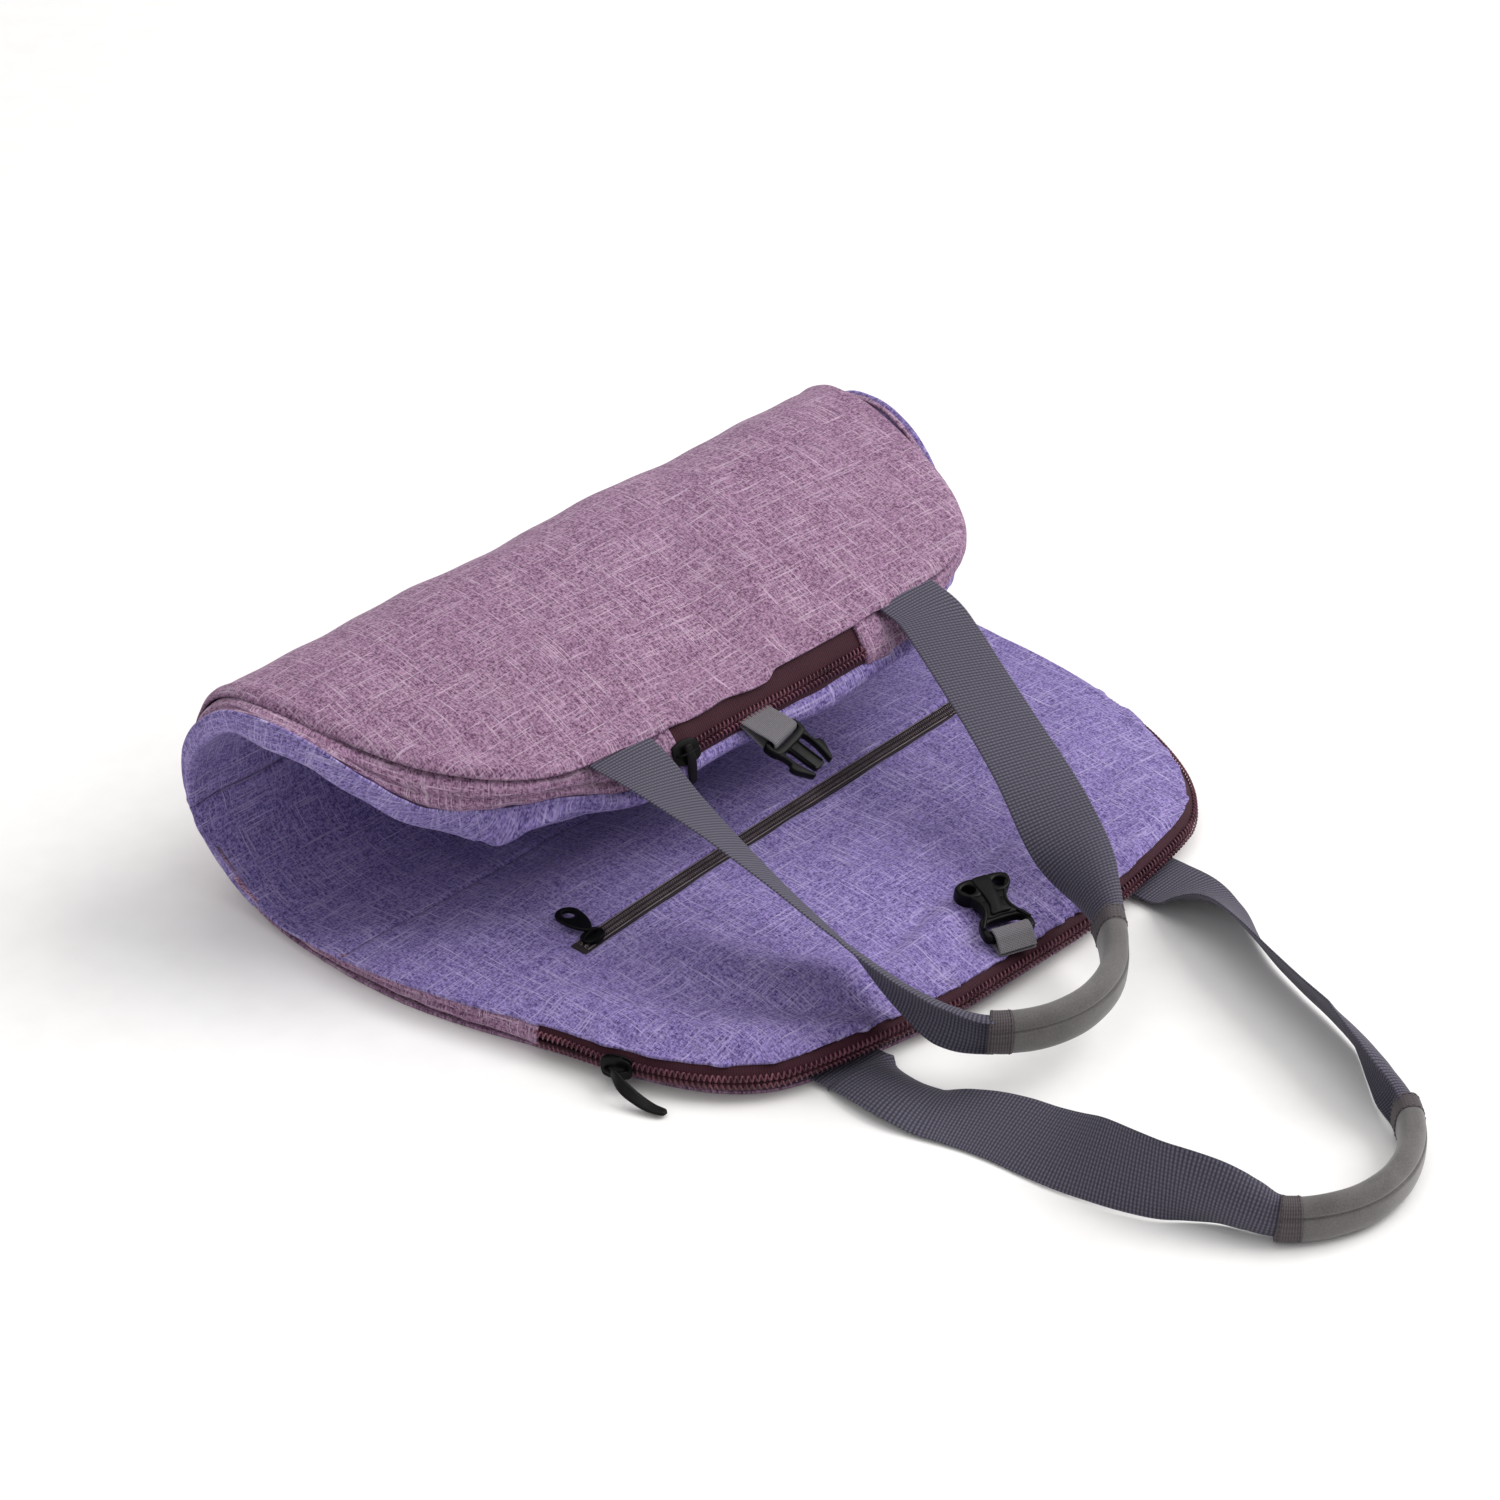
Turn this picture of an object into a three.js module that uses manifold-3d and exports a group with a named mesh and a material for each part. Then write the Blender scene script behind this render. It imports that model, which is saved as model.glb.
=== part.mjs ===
import * as THREE from 'three';
import { mergeVertices } from 'three/addons/utils/BufferGeometryUtils.js';
import Module from 'manifold-3d';

// A soft tote folded over on itself: a lower half lying flat, a fold that leaves an open tunnel along X,
// and an upper half held out over the lower one. Millimetres, +Z up, -Y is the front with both zips.

// Thicknesses and clearances
const air = 0.4;
const clothThick = 1.6;
const tapeThick = 1.1;
const webThick = 1.5;
const elasticThick = 1.2;

// Widths
const webWide = 40;
const elasticWide = 21;
const gripWide = 23;
const gripThick = 14;
const bandLong = 11;
const webDish = 0.25;
const bandExtra = 0.7;
const pocketTapeWide = 15;
const pocketCoilWide = 5;
const pullWide = 6.5;

// Outline of each half
const rimInset = 2;
const rimGap = 0.8;
const seamBack = 243;
const zipEndBack = 131;
const sliderBack = 84;
const upperZipStep = 31.4;

// Softness of the cloth
const lowerPlump = 8;
const upperPuff = 7;
const cornerTip = { x: -158, back: 22, drop: 7, spreadX: 20, spreadBack: 15 };
const leftSag = { drop: 5, from: 2, full: 9, ease: 28, to: 80 };
const rightFlare = 0.3;
const rollReach = 6;
const zipBulge = 6;
const foldBulge = 2.5;
const strapSeam = { from: 70, to: 142, allow: webThick + air + 0.1 };

// Outer face of the mauve panel in the middle plane, from the lower front edge to the upper front edge
const outerTable = [
  { y: -139, z: 0.8 },
  { y: -130, z: 0.2 },
  { y: -120, z: 0 },
  { y: -60, z: 0 },
  { y: 0, z: 0 },
  { y: 60, z: 0 },
  { y: 120, z: 0 },
  { y: 150, z: 0.6 },
  { y: 172, z: 4.5 },
  { y: 192, z: 14.5 },
  { y: 209, z: 32 },
  { y: 219.5, z: 55 },
  { y: 222, z: 77 },
  { y: 217, z: 100 },
  { y: 206, z: 118 },
  { y: 189, z: 129 },
  { y: 170, z: 132.6 },
  { y: 150, z: 132.6 },
  { y: 120, z: 127.4 },
  { y: 90, z: 121 },
  { y: 60, z: 114.2 },
  { y: 34, z: 107 },
];

// Seen face of the lavender lining in the same plane. At the sides flare widens it past the mauve panel
// and rise lifts its seam off that face, so that the cloth rolls over there.
const innerTable = [
  { y: -137, z: 19, flare: 0, rise: 0 },
  { y: -120, z: 19, flare: 0, rise: 0 },
  { y: -60, z: 18.5, flare: 1, rise: 0 },
  { y: 0, z: 17.5, flare: 2, rise: 0 },
  { y: 60, z: 16, flare: 3, rise: 0 },
  { y: 100, z: 13.8, flare: 4, rise: 0 },
  { y: 130, z: 11, flare: 4, rise: 0 },
  { y: 150, z: 9.5, flare: 4, rise: 0 },
  { y: 172, z: 14, flare: 4, rise: 0 },
  { y: 190, z: 25.5, flare: 5, rise: 0 },
  { y: 202, z: 43, flare: 7, rise: 1 },
  { y: 207, z: 66, flare: 10, rise: 3 },
  { y: 202.5, z: 88, flare: 13, rise: 5 },
  { y: 190, z: 107, flare: 14, rise: 6 },
  { y: 172, z: 119, flare: 13, rise: 7.5 },
  { y: 150, z: 123.2, flare: 12, rise: 8 },
  { y: 132, z: 120.5, flare: 10, rise: 8 },
  { y: 117, z: 113, flare: 8, rise: 8 },
  { y: 104, z: 102, flare: 4, rise: 9 },
  { y: 92, z: 91.5, flare: 3, rise: 11 },
  { y: 79, z: 83, flare: 2, rise: 13 },
  { y: 64, z: 79, flare: 1, rise: 13.5 },
  { y: 53, z: 80.5, flare: 0, rise: 11.5 },
  { y: 46, z: 85.5, flare: 0, rise: 6 },
  { y: 41, z: 90, flare: 0, rise: 1 },
  { y: 36, z: 91, flare: 0, rise: 0 },
];

// Where the two faces are paired across the pouch
const lowerFlatOuter = 270;
const lowerFlatInner = 268;
const upperFlatOuter = 118;
const upperFlatInner = 120;

// Half width and sideways lean of each half against the distance back from its front edge
const outlineTables = {
  lower: [
    { back: 0, half: 45, skew: 0 },
    { back: 2, half: 62, skew: 0 },
    { back: 5.5, half: 84, skew: 0 },
    { back: 11, half: 115, skew: 0 },
    { back: 17.5, half: 142, skew: 0 },
    { back: 24, half: 155, skew: 0 },
    { back: 34, half: 167, skew: 0 },
    { back: 47, half: 177.5, skew: 0 },
    { back: 62, half: 186, skew: 0 },
    { back: 85, half: 195.5, skew: 0 },
    { back: 112, half: 203, skew: 0 },
    { back: 140, half: 210, skew: -1.6 },
    { back: 170, half: 216, skew: -5 },
    { back: 205, half: 220.5, skew: -8.8 },
    { back: 245, half: 223, skew: -10 },
  ],
  upper: [
    { back: 0, half: 45, skew: 0 },
    { back: 1.2, half: 75, skew: 0 },
    { back: 2.6, half: 105, skew: 0 },
    { back: 5, half: 131, skew: 0 },
    { back: 9.5, half: 148, skew: -0.5 },
    { back: 16.5, half: 161, skew: -1.5 },
    { back: 25, half: 172, skew: -2.8 },
    { back: 36, half: 181.5, skew: -4.8 },
    { back: 48, half: 189.5, skew: -7 },
    { back: 64, half: 197, skew: -9 },
    { back: 88, half: 205, skew: -11.5 },
    { back: 114, half: 211.5, skew: -13.5 },
    { back: 142, half: 215.5, skew: -14 },
    { back: 175, half: 218, skew: -11.5 },
    { back: 210, half: 219.5, skew: -10 },
    { back: 245, half: 220.5, skew: -10 },
  ],
};
const foldRow = { half: 221.5, skew: -10 };

const frontSteps = [0, 15.7, upperZipStep, 47, 63, 79, 95, 110];
const frontBacks = [40, 52, 66, sliderBack, 99, 115, zipEndBack];
const sideBacks = [...frontBacks, 150, 170, 190, 209, 227, seamBack, 257, 271, 285, 299];
const outerColumns = [-1, -0.78, -0.42, 0, 0.42, 0.78, 1];
// Lining columns: millimetres in from the side seam, then shares of the middle
const lowerEdges = [0, 6, 16, 32];
const upperEdges = [0, 2.2, 4, 6, 8.5, 13, 28];
const liningShares = [-0.66, -0.33, 0, 0.33, 0.66];

// Centre lines of the two handles: place, direction of the webbing's width, width
const lowerHandle = {
  leftRoot: -114,
  rightRoot: 112,
  rows: [
    { x: -114.8, y: -139, z: 5, wx: 0.99, wy: -0.04, wz: -0.05, wide: 39 },
    { x: -116, y: -152, z: 3.8, wx: 0.99, wy: 0.08, wz: -0.1, wide: 38 },
    { x: -115.6, y: -166, z: 3.2, wx: 0.97, wy: 0.2, wz: -0.1, wide: 38.5 },
    { x: -112.4, y: -180, z: 3, wx: 0.95, wy: 0.3, wz: -0.03, wide: 39.5 },
    { x: -107.6, y: -193.4, z: 4, wx: 0.95, wy: 0.29, wz: 0.11, wide: 40 },
    { x: -103.6, y: -207.5, z: 6, wx: 0.94, wy: 0.24, wz: 0.23, wide: 40 },
    { x: -101, y: -223, z: 7.9, wx: 0.92, wy: 0.2, wz: 0.33, wide: 40 },
    { x: -99.8, y: -240.5, z: 9.8, wx: 0.88, wy: 0.18, wz: 0.43, wide: 40 },
    { x: -99.4, y: -256.5, z: 12.8, wx: 0.8, wy: 0.17, wz: 0.57, wide: 40 },
    { x: -99.4, y: -273, z: 16.8, wx: 0.6, wy: 0.14, wz: 0.78, wide: 40 },
    { x: -98.2, y: -290, z: 19.2, wx: 0.42, wy: 0.11, wz: 0.9, wide: 40 },
    { x: -95.2, y: -305.5, z: 20.4, wx: 0.26, wy: 0.08, wz: 0.96, wide: 40 },
    { x: -90.4, y: -319.5, z: 20.7, wx: 0.12, wy: 0.05, wz: 0.99, wide: 39.5 },
    { x: -83.8, y: -334, z: 18.8, wx: 0.04, wy: 0.02, wz: 1, wide: 36.5 },
    { x: -76.6, y: -349, z: 15.6, wx: 0, wy: 0, wz: 1, wide: 29.5 },
    { x: -69, y: -361, z: 12.6, wx: 0, wy: 0, wz: 1, wide: 24 },
    { x: -52, y: -376, z: 12.6, wx: 0, wy: 0, wz: 1, wide: 23 },
    { x: -29, y: -384, z: 12.6, wx: 0, wy: 0, wz: 1, wide: 23 },
    { x: -4, y: -382, z: 12.6, wx: 0, wy: 0, wz: 1, wide: 23 },
    { x: 19, y: -371, z: 12.8, wx: 0, wy: 0, wz: 1, wide: 23 },
    { x: 36, y: -353, z: 13.6, wx: 0, wy: 0, wz: 1, wide: 24 },
    { x: 46, y: -331, z: 16.4, wx: -0.2, wy: 0.05, wz: 0.97, wide: 32 },
    { x: 56, y: -311, z: 18, wx: -0.35, wy: 0.1, wz: 0.92, wide: 37 },
    { x: 64, y: -292, z: 18.6, wx: -0.45, wy: 0.15, wz: 0.88, wide: 40 },
    { x: 72, y: -268, z: 18.6, wx: -0.5, wy: 0.17, wz: 0.84, wide: 40 },
    { x: 80, y: -242, z: 18.6, wx: -0.51, wy: 0.17, wz: 0.84, wide: 40 },
    { x: 90, y: -214, z: 18.2, wx: -0.54, wy: 0.17, wz: 0.82, wide: 40 },
    { x: 101, y: -189, z: 15.6, wx: -0.7, wy: 0.15, wz: 0.7, wide: 40 },
    { x: 108.5, y: -168, z: 9.6, wx: -0.9, wy: 0.1, wz: 0.4, wide: 40 },
    { x: 112, y: -150, z: 4.6, wx: -1, wy: 0, wz: 0.05, wide: 40 },
  ],
  gripFrom: 16,
  gripTo: 21,
};
const upperHandle = {
  leftRoot: -105,
  rightRoot: 102,
  rows: [
    { x: -105, y: 20, z: 101.8, wx: 0.98, wy: 0.09, wz: -0.15, wide: 40 },
    { x: -105, y: -2, z: 95.6, wx: 0.92, wy: 0.2, wz: -0.34, wide: 40 },
    { x: -103.5, y: -30, z: 86.5, wx: 0.83, wy: 0.28, wz: -0.49, wide: 40 },
    { x: -100, y: -67, z: 72, wx: 0.73, wy: 0.34, wz: -0.6, wide: 40 },
    { x: -94.5, y: -106, z: 55, wx: 0.65, wy: 0.38, wz: -0.66, wide: 40 },
    { x: -90, y: -141, z: 41.5, wx: 0.42, wy: 0.4, wz: -0.8, wide: 37 },
    { x: -86, y: -167, z: 35, wx: 0.2, wy: 0.25, wz: -0.95, wide: 31 },
    { x: -77, y: -186, z: 33.5, wx: 0.1, wy: 0.1, wz: -1, wide: 24 },
    { x: -55, y: -201.5, z: 33, wx: 0, wy: 0, wz: -1, wide: 23 },
    { x: -29, y: -206, z: 33, wx: 0, wy: 0, wz: -1, wide: 23 },
    { x: -4, y: -200, z: 33.5, wx: 0, wy: 0, wz: -1, wide: 23 },
    { x: 15, y: -186, z: 34.5, wx: -0.1, wy: 0.05, wz: -1, wide: 23 },
    { x: 29, y: -169, z: 37.5, wx: -0.25, wy: 0.1, wz: -0.95, wide: 24 },
    { x: 39, y: -148, z: 44.5, wx: -0.5, wy: 0.15, wz: -0.85, wide: 32 },
    { x: 48, y: -124, z: 55, wx: -0.8, wy: 0.1, wz: -0.5, wide: 39 },
    { x: 61, y: -92, z: 69, wx: -0.97, wy: 0, wz: -0.2, wide: 40 },
    { x: 72, y: -60, z: 81, wx: -1, wy: 0, wz: -0.05, wide: 40 },
    { x: 83, y: -29, z: 90.5, wx: -1, wy: 0, wz: 0, wide: 40 },
    { x: 95, y: 2, z: 98, wx: -1, wy: 0, wz: 0, wide: 40 },
    { x: 101, y: 20, z: 102, wx: -1, wy: 0, wz: 0, wide: 40 },
  ],
  gripFrom: 8,
  gripTo: 13,
};
const rootBacks = [25, 14, 3];

// Zip pulls: centre line and width direction
const lowerPull = [
  { x: -205.8, y: -59, z: 9.3, wx: 0.1, wy: 0, wz: 1, wide: pullWide },
  { x: -207.4, y: -66, z: 8.2, wx: 0.5, wy: 0.1, wz: 0.85, wide: pullWide },
  { x: -207, y: -74, z: 5.6, wx: 0.9, wy: 0.1, wz: 0.4, wide: pullWide },
  { x: -205.4, y: -83, z: 3, wx: 1, wy: 0.2, wz: 0.1, wide: pullWide },
  { x: -202.6, y: -91, z: 2.2, wx: 1, wy: 0.3, wz: 0, wide: 4.5 },
];
const upperPull = [
  { x: -70.8, y: 25.6, z: 97.4, wx: 1, wy: 0, wz: 0, wide: 5 },
  { x: -70.2, y: 22.8, z: 89, wx: 1, wy: 0, wz: 0, wide: 6 },
  { x: -69, y: 23, z: 76, wx: 1, wy: 0, wz: 0, wide: 5 },
];
const pullThick = 2.4;

// Pocket zip on the lower lining
const pocketZip = { fromX: -153, toX: 140, fromY: 13.5, rise: 0.052 };
const ringPull = { long: 25, wide: 13, eye: 3.4, thick: 2.2 };

// Side release buckle halves; outlines as distance along and half width
const socketAt = { x: -2, y: -133, yaw: 19, clear: 1.8 };
const socketOutline = [
  { along: 0, half: 12.6 },
  { along: 1.6, half: 14 },
  { along: 8.6, half: 13.8 },
  { along: 13, half: 9.6 },
  { along: 18, half: 7.4 },
  { along: 23, half: 8 },
  { along: 27, half: 12 },
  { along: 31, half: 14.6 },
  { along: 35, half: 14.8 },
  { along: 36.6, half: 13.4 },
];
const socketThick = 9;
const socketElastic = { tail: 8, dip: 2.6 };
const socketFrame = { from: 2, to: 7, until: 9.5 };
const socketMouth = { from: 24, half: 6.4, low: 1.8, high: 7.2 };
const socketHoles = { along: 31, across: 9.6, long: 4, wide: 5 };
const barSlot = { from: 3.2, to: 7.6, half: 11.2 };
const plugAt = { x: -24, y: 34.3, z: 88.6 };
const plugHang = { x: 11, y: -41, z: -18 };
const plugElastic = { tail: 17, dip: 0 };
const plugThick = 5;
const plugOutline = [
  { along: 0, half: 12.4 },
  { along: 1.4, half: 13.6 },
  { along: 10, half: 13.6 },
  { along: 12, half: 12.6 },
  { along: 19, half: 12.8 },
  { along: 25, half: 13.2 },
  { along: 29, half: 11.8 },
  { along: 34, half: 8.8 },
  { along: 33.5, half: 7.2 },
  { along: 27, half: 9 },
  { along: 19, half: 9.4 },
  { along: 14, half: 9 },
  { along: 13, half: 7.6 },
  { along: 13, half: 4.2 },
  { along: 14.2, half: 3.2 },
  { along: 28, half: 2.6 },
  { along: 30, half: 1.6 },
];

// Colours, roughness and metalness by material
const looks = {
  mauve: { color: 0x8e6b8c, roughness: 0.92, metalness: 0 },
  lavender: { color: 0x7a68b4, roughness: 0.92, metalness: 0 },
  burgundy: { color: 0x4e1d30, roughness: 0.8, metalness: 0 },
  coil: { color: 0x6a3347, roughness: 0.5, metalness: 0 },
  pocketTape: { color: 0x3a3036, roughness: 0.85, metalness: 0 },
  webbing: { color: 0x55555c, roughness: 0.85, metalness: 0 },
  grip: { color: 0x6e6e70, roughness: 0.9, metalness: 0 },
  band: { color: 0x6a6268, roughness: 0.9, metalness: 0 },
  elastic: { color: 0x8e8c8e, roughness: 0.95, metalness: 0 },
  black: { color: 0x242322, roughness: 0.45, metalness: 0 },
};

const wasm = await Module();
wasm.setup();
const group = new THREE.Group();

function vec(x, y, z) {
  return new THREE.Vector3(x, y, z);
}

function smooth(value, from, to) {
  return THREE.MathUtils.smoothstep(value, from, to);
}

function spread(from, to, count) {
  return Array.from({ length: count + 1 }, (_, i) => from + ((to - from) * i) / count);
}

function splineOf(points) {
  const curve = new THREE.CatmullRomCurve3(points, false, 'centripetal');
  curve.arcLengthDivisions = 1200;
  return curve;
}

// Closed body from point lists; the faces are turned outward by the sign of the volume
function bodyFrom(points, faces) {
  let volume = 0;
  for (const [a, b, c] of faces) {
    volume += points[a].dot(vec(0, 0, 0).crossVectors(points[b], points[c]));
  }
  const index = [];
  for (const [a, b, c] of faces) {
    index.push(a, volume > 0 ? b : c, volume > 0 ? c : b);
  }
  const geometry = new THREE.BufferGeometry();
  const numbers = points.flatMap((p) => [p.x, p.y, p.z]);
  geometry.setAttribute('position', new THREE.Float32BufferAttribute(numbers, 3));
  geometry.setIndex(index);
  return geometry;
}

// Two facing grids of points joined round their border
function closeSheet(face, back) {
  const rows = face.length;
  const cols = face[0].length;
  const points = [...face.flat(), ...back.flat()];
  const far = rows * cols;
  const faces = [];
  for (let r = 0; r + 1 < rows; r += 1) {
    for (let c = 0; c + 1 < cols; c += 1) {
      const p = r * cols + c;
      const q = p + cols;
      faces.push([p, q, q + 1], [p, q + 1, p + 1]);
      faces.push([far + p, far + q + 1, far + q], [far + p, far + p + 1, far + q + 1]);
    }
  }
  const border = [];
  for (let c = 0; c + 1 < cols; c += 1) {
    border.push([c, c + 1]);
    border.push([(rows - 1) * cols + c + 1, (rows - 1) * cols + c]);
  }
  for (let r = 0; r + 1 < rows; r += 1) {
    border.push([(r + 1) * cols, r * cols]);
    border.push([r * cols + cols - 1, (r + 1) * cols + cols - 1]);
  }
  for (const [p, q] of border) {
    faces.push([p, q, far + q], [p, far + q, far + p]);
  }
  return bodyFrom(points, faces);
}

// Closed rings of points joined in turn, with a fan at either end
function closeRings(rings) {
  const count = rings[0].length;
  const points = rings.flat();
  const faces = [];
  for (let r = 0; r + 1 < rings.length; r += 1) {
    for (let c = 0; c < count; c += 1) {
      const next = (c + 1) % count;
      faces.push([r * count + c, r * count + next, (r + 1) * count + next]);
      faces.push([r * count + c, (r + 1) * count + next, (r + 1) * count + c]);
    }
  }
  for (const end of [0, rings.length - 1]) {
    const middle = vec(0, 0, 0);
    rings[end].forEach((p) => middle.addScaledVector(p, 1 / count));
    points.push(middle);
    for (let c = 0; c < count; c += 1) {
      const here = end * count + c;
      const next = end * count + ((c + 1) % count);
      faces.push(end === 0 ? [next, here, points.length - 1] : [here, next, points.length - 1]);
    }
  }
  return bodyFrom(points, faces);
}

function addPiece(name, geometry, look) {
  const mesh = new THREE.Mesh(geometry, new THREE.MeshStandardMaterial(looks[look]));
  mesh.name = name;
  group.add(mesh);
}

// Section curves through the bag
const outerCurve = splineOf(outerTable.map((row) => vec(0, row.y, row.z)));
const innerCurve = splineOf(innerTable.map((row) => vec(0, row.y, row.z)));
const outerReach = outerCurve.getLength();
const innerReach = innerCurve.getLength();

function frameAt(curve, reach, distance) {
  const u = THREE.MathUtils.clamp(distance / reach, 0, 1);
  const at = curve.getPointAt(u);
  const along = curve.getTangentAt(u);
  at.z = Math.max(0, at.z);
  return { at, along, out: vec(0, along.z, -along.y) };
}

// Distance along the lining that lies across the pouch from a distance along the mauve panel
function innerDistance(distance) {
  const upperFrom = outerReach - upperFlatOuter;
  if (distance <= lowerFlatOuter) {
    return (distance * lowerFlatInner) / lowerFlatOuter;
  }
  if (distance >= upperFrom) {
    return innerReach - ((outerReach - distance) * upperFlatInner) / upperFlatOuter;
  }
  const share = (distance - lowerFlatOuter) / (upperFrom - lowerFlatOuter);
  return lowerFlatInner + share * (innerReach - upperFlatInner - lowerFlatInner);
}

// Outline rows of each half: distance back, half width, and the way out of the outline there
function outlineRows(half) {
  const curve = splineOf([
    ...outlineTables[half].map((row) => vec(row.half, row.back, 0)),
    vec(foldRow.half, outerReach / 2, 0),
  ]);
  const reach = curve.getLength();
  const rowAt = (u) => {
    const at = curve.getPointAt(u);
    const along = curve.getTangentAt(u);
    return { back: at.y, half: at.x, nx: along.y, nd: along.x };
  };
  const rowAtBack = (back) => {
    let low = 0;
    let high = 1;
    for (let i = 0; i < 40; i += 1) {
      const mid = (low + high) / 2;
      if (curve.getPointAt(mid).y < back) {
        low = mid;
      } else {
        high = mid;
      }
    }
    return rowAt(low);
  };
  return [...frontSteps.map((step) => rowAt(step / reach)), ...sideBacks.map(rowAtBack), rowAt(1)];
}
const rows = { lower: outlineRows('lower'), upper: outlineRows('upper') };
const lastRow = rows.lower.length - 1;
const rowAtBack = (back) => frontSteps.length + sideBacks.indexOf(back);
const seamRow = rowAtBack(seamBack);
const zipRow = rowAtBack(zipEndBack);
const sliderRow = rowAtBack(sliderBack);
const upperZipRow = frontSteps.indexOf(upperZipStep);

function halfAt(half, back) {
  const list = rows[half];
  const k = Math.max(1, list.findIndex((row) => row.back >= back));
  const share = (back - list[k - 1].back) / (list[k].back - list[k - 1].back);
  return list[k - 1].half + share * (list[k].half - list[k - 1].half);
}

function skewAt(half, back) {
  const list = [...outlineTables[half], { back: outerReach / 2, ...foldRow }];
  const k = Math.max(1, list.findIndex((row) => row.back >= back));
  const share = (back - list[k - 1].back) / (list[k].back - list[k - 1].back);
  return THREE.MathUtils.lerp(list[k - 1].skew, list[k].skew, share);
}

function outerPoint(distance, x, inward) {
  const f = frameAt(outerCurve, outerReach, distance);
  return vec(x, f.at.y - f.out.y * inward, f.at.z - f.out.z * inward);
}

// Value of a named column of the lining's table at a distance along the lining
function liningColumn(name, distance) {
  const u = THREE.MathUtils.clamp(distance / innerReach, 0, 1);
  const spot = innerCurve.getUtoTmapping(u) * (innerTable.length - 1);
  const k = Math.min(innerTable.length - 2, Math.floor(spot));
  return THREE.MathUtils.lerp(innerTable[k][name], innerTable[k + 1][name], spot - k);
}

function innerPoint(distance, x, inward) {
  const f = frameAt(innerCurve, innerReach, distance);
  return vec(x, f.at.y + f.out.y * inward, f.at.z + f.out.z * inward);
}

// How far the lining stands off its table: plump below, rolled to a raised side seam, sagging and pinched
// at the near corner of the upper half
function liningStand(distance, x, fromSeam, v) {
  const plump = lowerPlump * (1 - v ** 4) * smooth(distance, 0, 50) * (1 - smooth(distance, 190, 250));
  const roll = liningColumn('rise', distance) * Math.exp(-((fromSeam / rollReach) ** 3));
  const dx = (x - cornerTip.x) / cornerTip.spreadX;
  const db = (innerReach - distance - cornerTip.back) / cornerTip.spreadBack;
  const tip = cornerTip.drop * Math.exp(-dx * dx - db * db) * smooth(fromSeam, 2, 8);
  const fromFront = innerReach - distance;
  const near = smooth(fromFront, 0, 14) * (1 - smooth(fromFront, 110, 170)) * (x < 0 ? 1 : 0);
  const sag = smooth(fromSeam, leftSag.from, leftSag.full) * (1 - smooth(fromSeam, leftSag.ease, leftSag.to));
  return plump - roll + tip + leftSag.drop * near * sag;
}

function liningPoint(distance, x, fromSeam, v, inward) {
  return innerPoint(distance, x, inward - liningStand(distance, x, fromSeam, v));
}

// Back of a sheet, a cloth's thickness behind its face along the face's own normals
function behind(face, thick, towards) {
  const rowsOf = face.length;
  const cols = face[0].length;
  return face.map((line, r) => line.map((at, c) => {
    const along = face[Math.min(rowsOf - 1, r + 1)][c].clone().sub(face[Math.max(0, r - 1)][c]);
    const across = line[Math.min(cols - 1, c + 1)].clone().sub(line[Math.max(0, c - 1)]);
    const normal = vec(0, 0, 0).crossVectors(along, across).normalize();
    const sign = normal.dot(towards(r)) < 0 ? -1 : 1;
    return at.clone().addScaledVector(normal, sign * thick);
  }));
}

// Mauve outer panel
function outerRow(half, row) {
  const distance = half === 'lower' ? row.back : outerReach - row.back;
  const full = half === 'upper' ? upperPuff : 0;
  const puff = full * smooth(row.back, 0, 70) * (1 - smooth(row.back, 130, 185));
  const middle = skewAt(half, row.back);
  return outerColumns.map((v) => outerPoint(distance, middle + v * row.half, -puff * (1 - v ** 4)));
}

function outerPanel() {
  const lower = rows.lower.map((row) => ({ half: 'lower', row, distance: row.back }));
  const upper = rows.upper.map((row) => ({ half: 'upper', row, distance: outerReach - row.back }));
  const list = [...lower, ...upper.slice(0, lastRow).reverse()];
  const inside = (r) => frameAt(outerCurve, outerReach, list[r].distance).out.negate();
  const face = list.map((item) => outerRow(item.half, item.row));
  return closeSheet(face, behind(face, clothThick, inside));
}
addPiece('outer_panel', outerPanel(), 'mauve');

// Lavender lining in three lengths, parted by a fine seam on either side of the tunnel's base
function liningItem(half, k, shift = 0) {
  const row = rows[half][k];
  const distance = innerDistance(half === 'lower' ? row.back : outerReach - row.back) + shift;
  return { half, row, distance };
}

function flareAt(distance, side) {
  return liningColumn('flare', distance) * (side < 0 ? 1 : rightFlare);
}

function liningRow(item, edges) {
  const middle = skewAt(item.half, item.row.back);
  const wide = (side) => item.row.half + flareAt(item.distance, side);
  const core = (side) => wide(side) - edges[edges.length - 1];
  const places = [
    ...edges.map((edge) => edge - wide(-1)),
    ...liningShares.map((share) => share * core(share)),
    ...edges.map((edge) => wide(1) - edge).reverse(),
  ];
  return places.map((x) => (
    liningPoint(item.distance, middle + x, wide(x) - Math.abs(x), x / wide(x), 0)
  ));
}

function liningPiece(list, edges) {
  const inside = (r) => frameAt(innerCurve, innerReach, list[r].distance).out;
  const face = list.map((item) => liningRow(item, edges));
  return closeSheet(face, behind(face, clothThick, inside));
}
const upTo = (count) => Array.from({ length: count }, (_, k) => k);
const seamGap = air / 2;
const lowerList = upTo(seamRow).map((k) => liningItem('lower', k));
lowerList.push(liningItem('lower', seamRow, -seamGap));
const upperList = upTo(seamRow).map((k) => liningItem('upper', k));
upperList.push(liningItem('upper', seamRow, seamGap));
const baseList = [liningItem('lower', seamRow, seamGap)];
for (let k = seamRow + 1; k <= lastRow; k += 1) {
  baseList.push(liningItem('lower', k));
}
for (let k = lastRow - 1; k > seamRow; k -= 1) {
  baseList.push(liningItem('upper', k));
}
baseList.push(liningItem('upper', seamRow, -seamGap));
addPiece('lining_lower', liningPiece(lowerList, lowerEdges), 'lavender');
addPiece('lining_base', liningPiece(baseList, lowerEdges), 'lavender');
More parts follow.
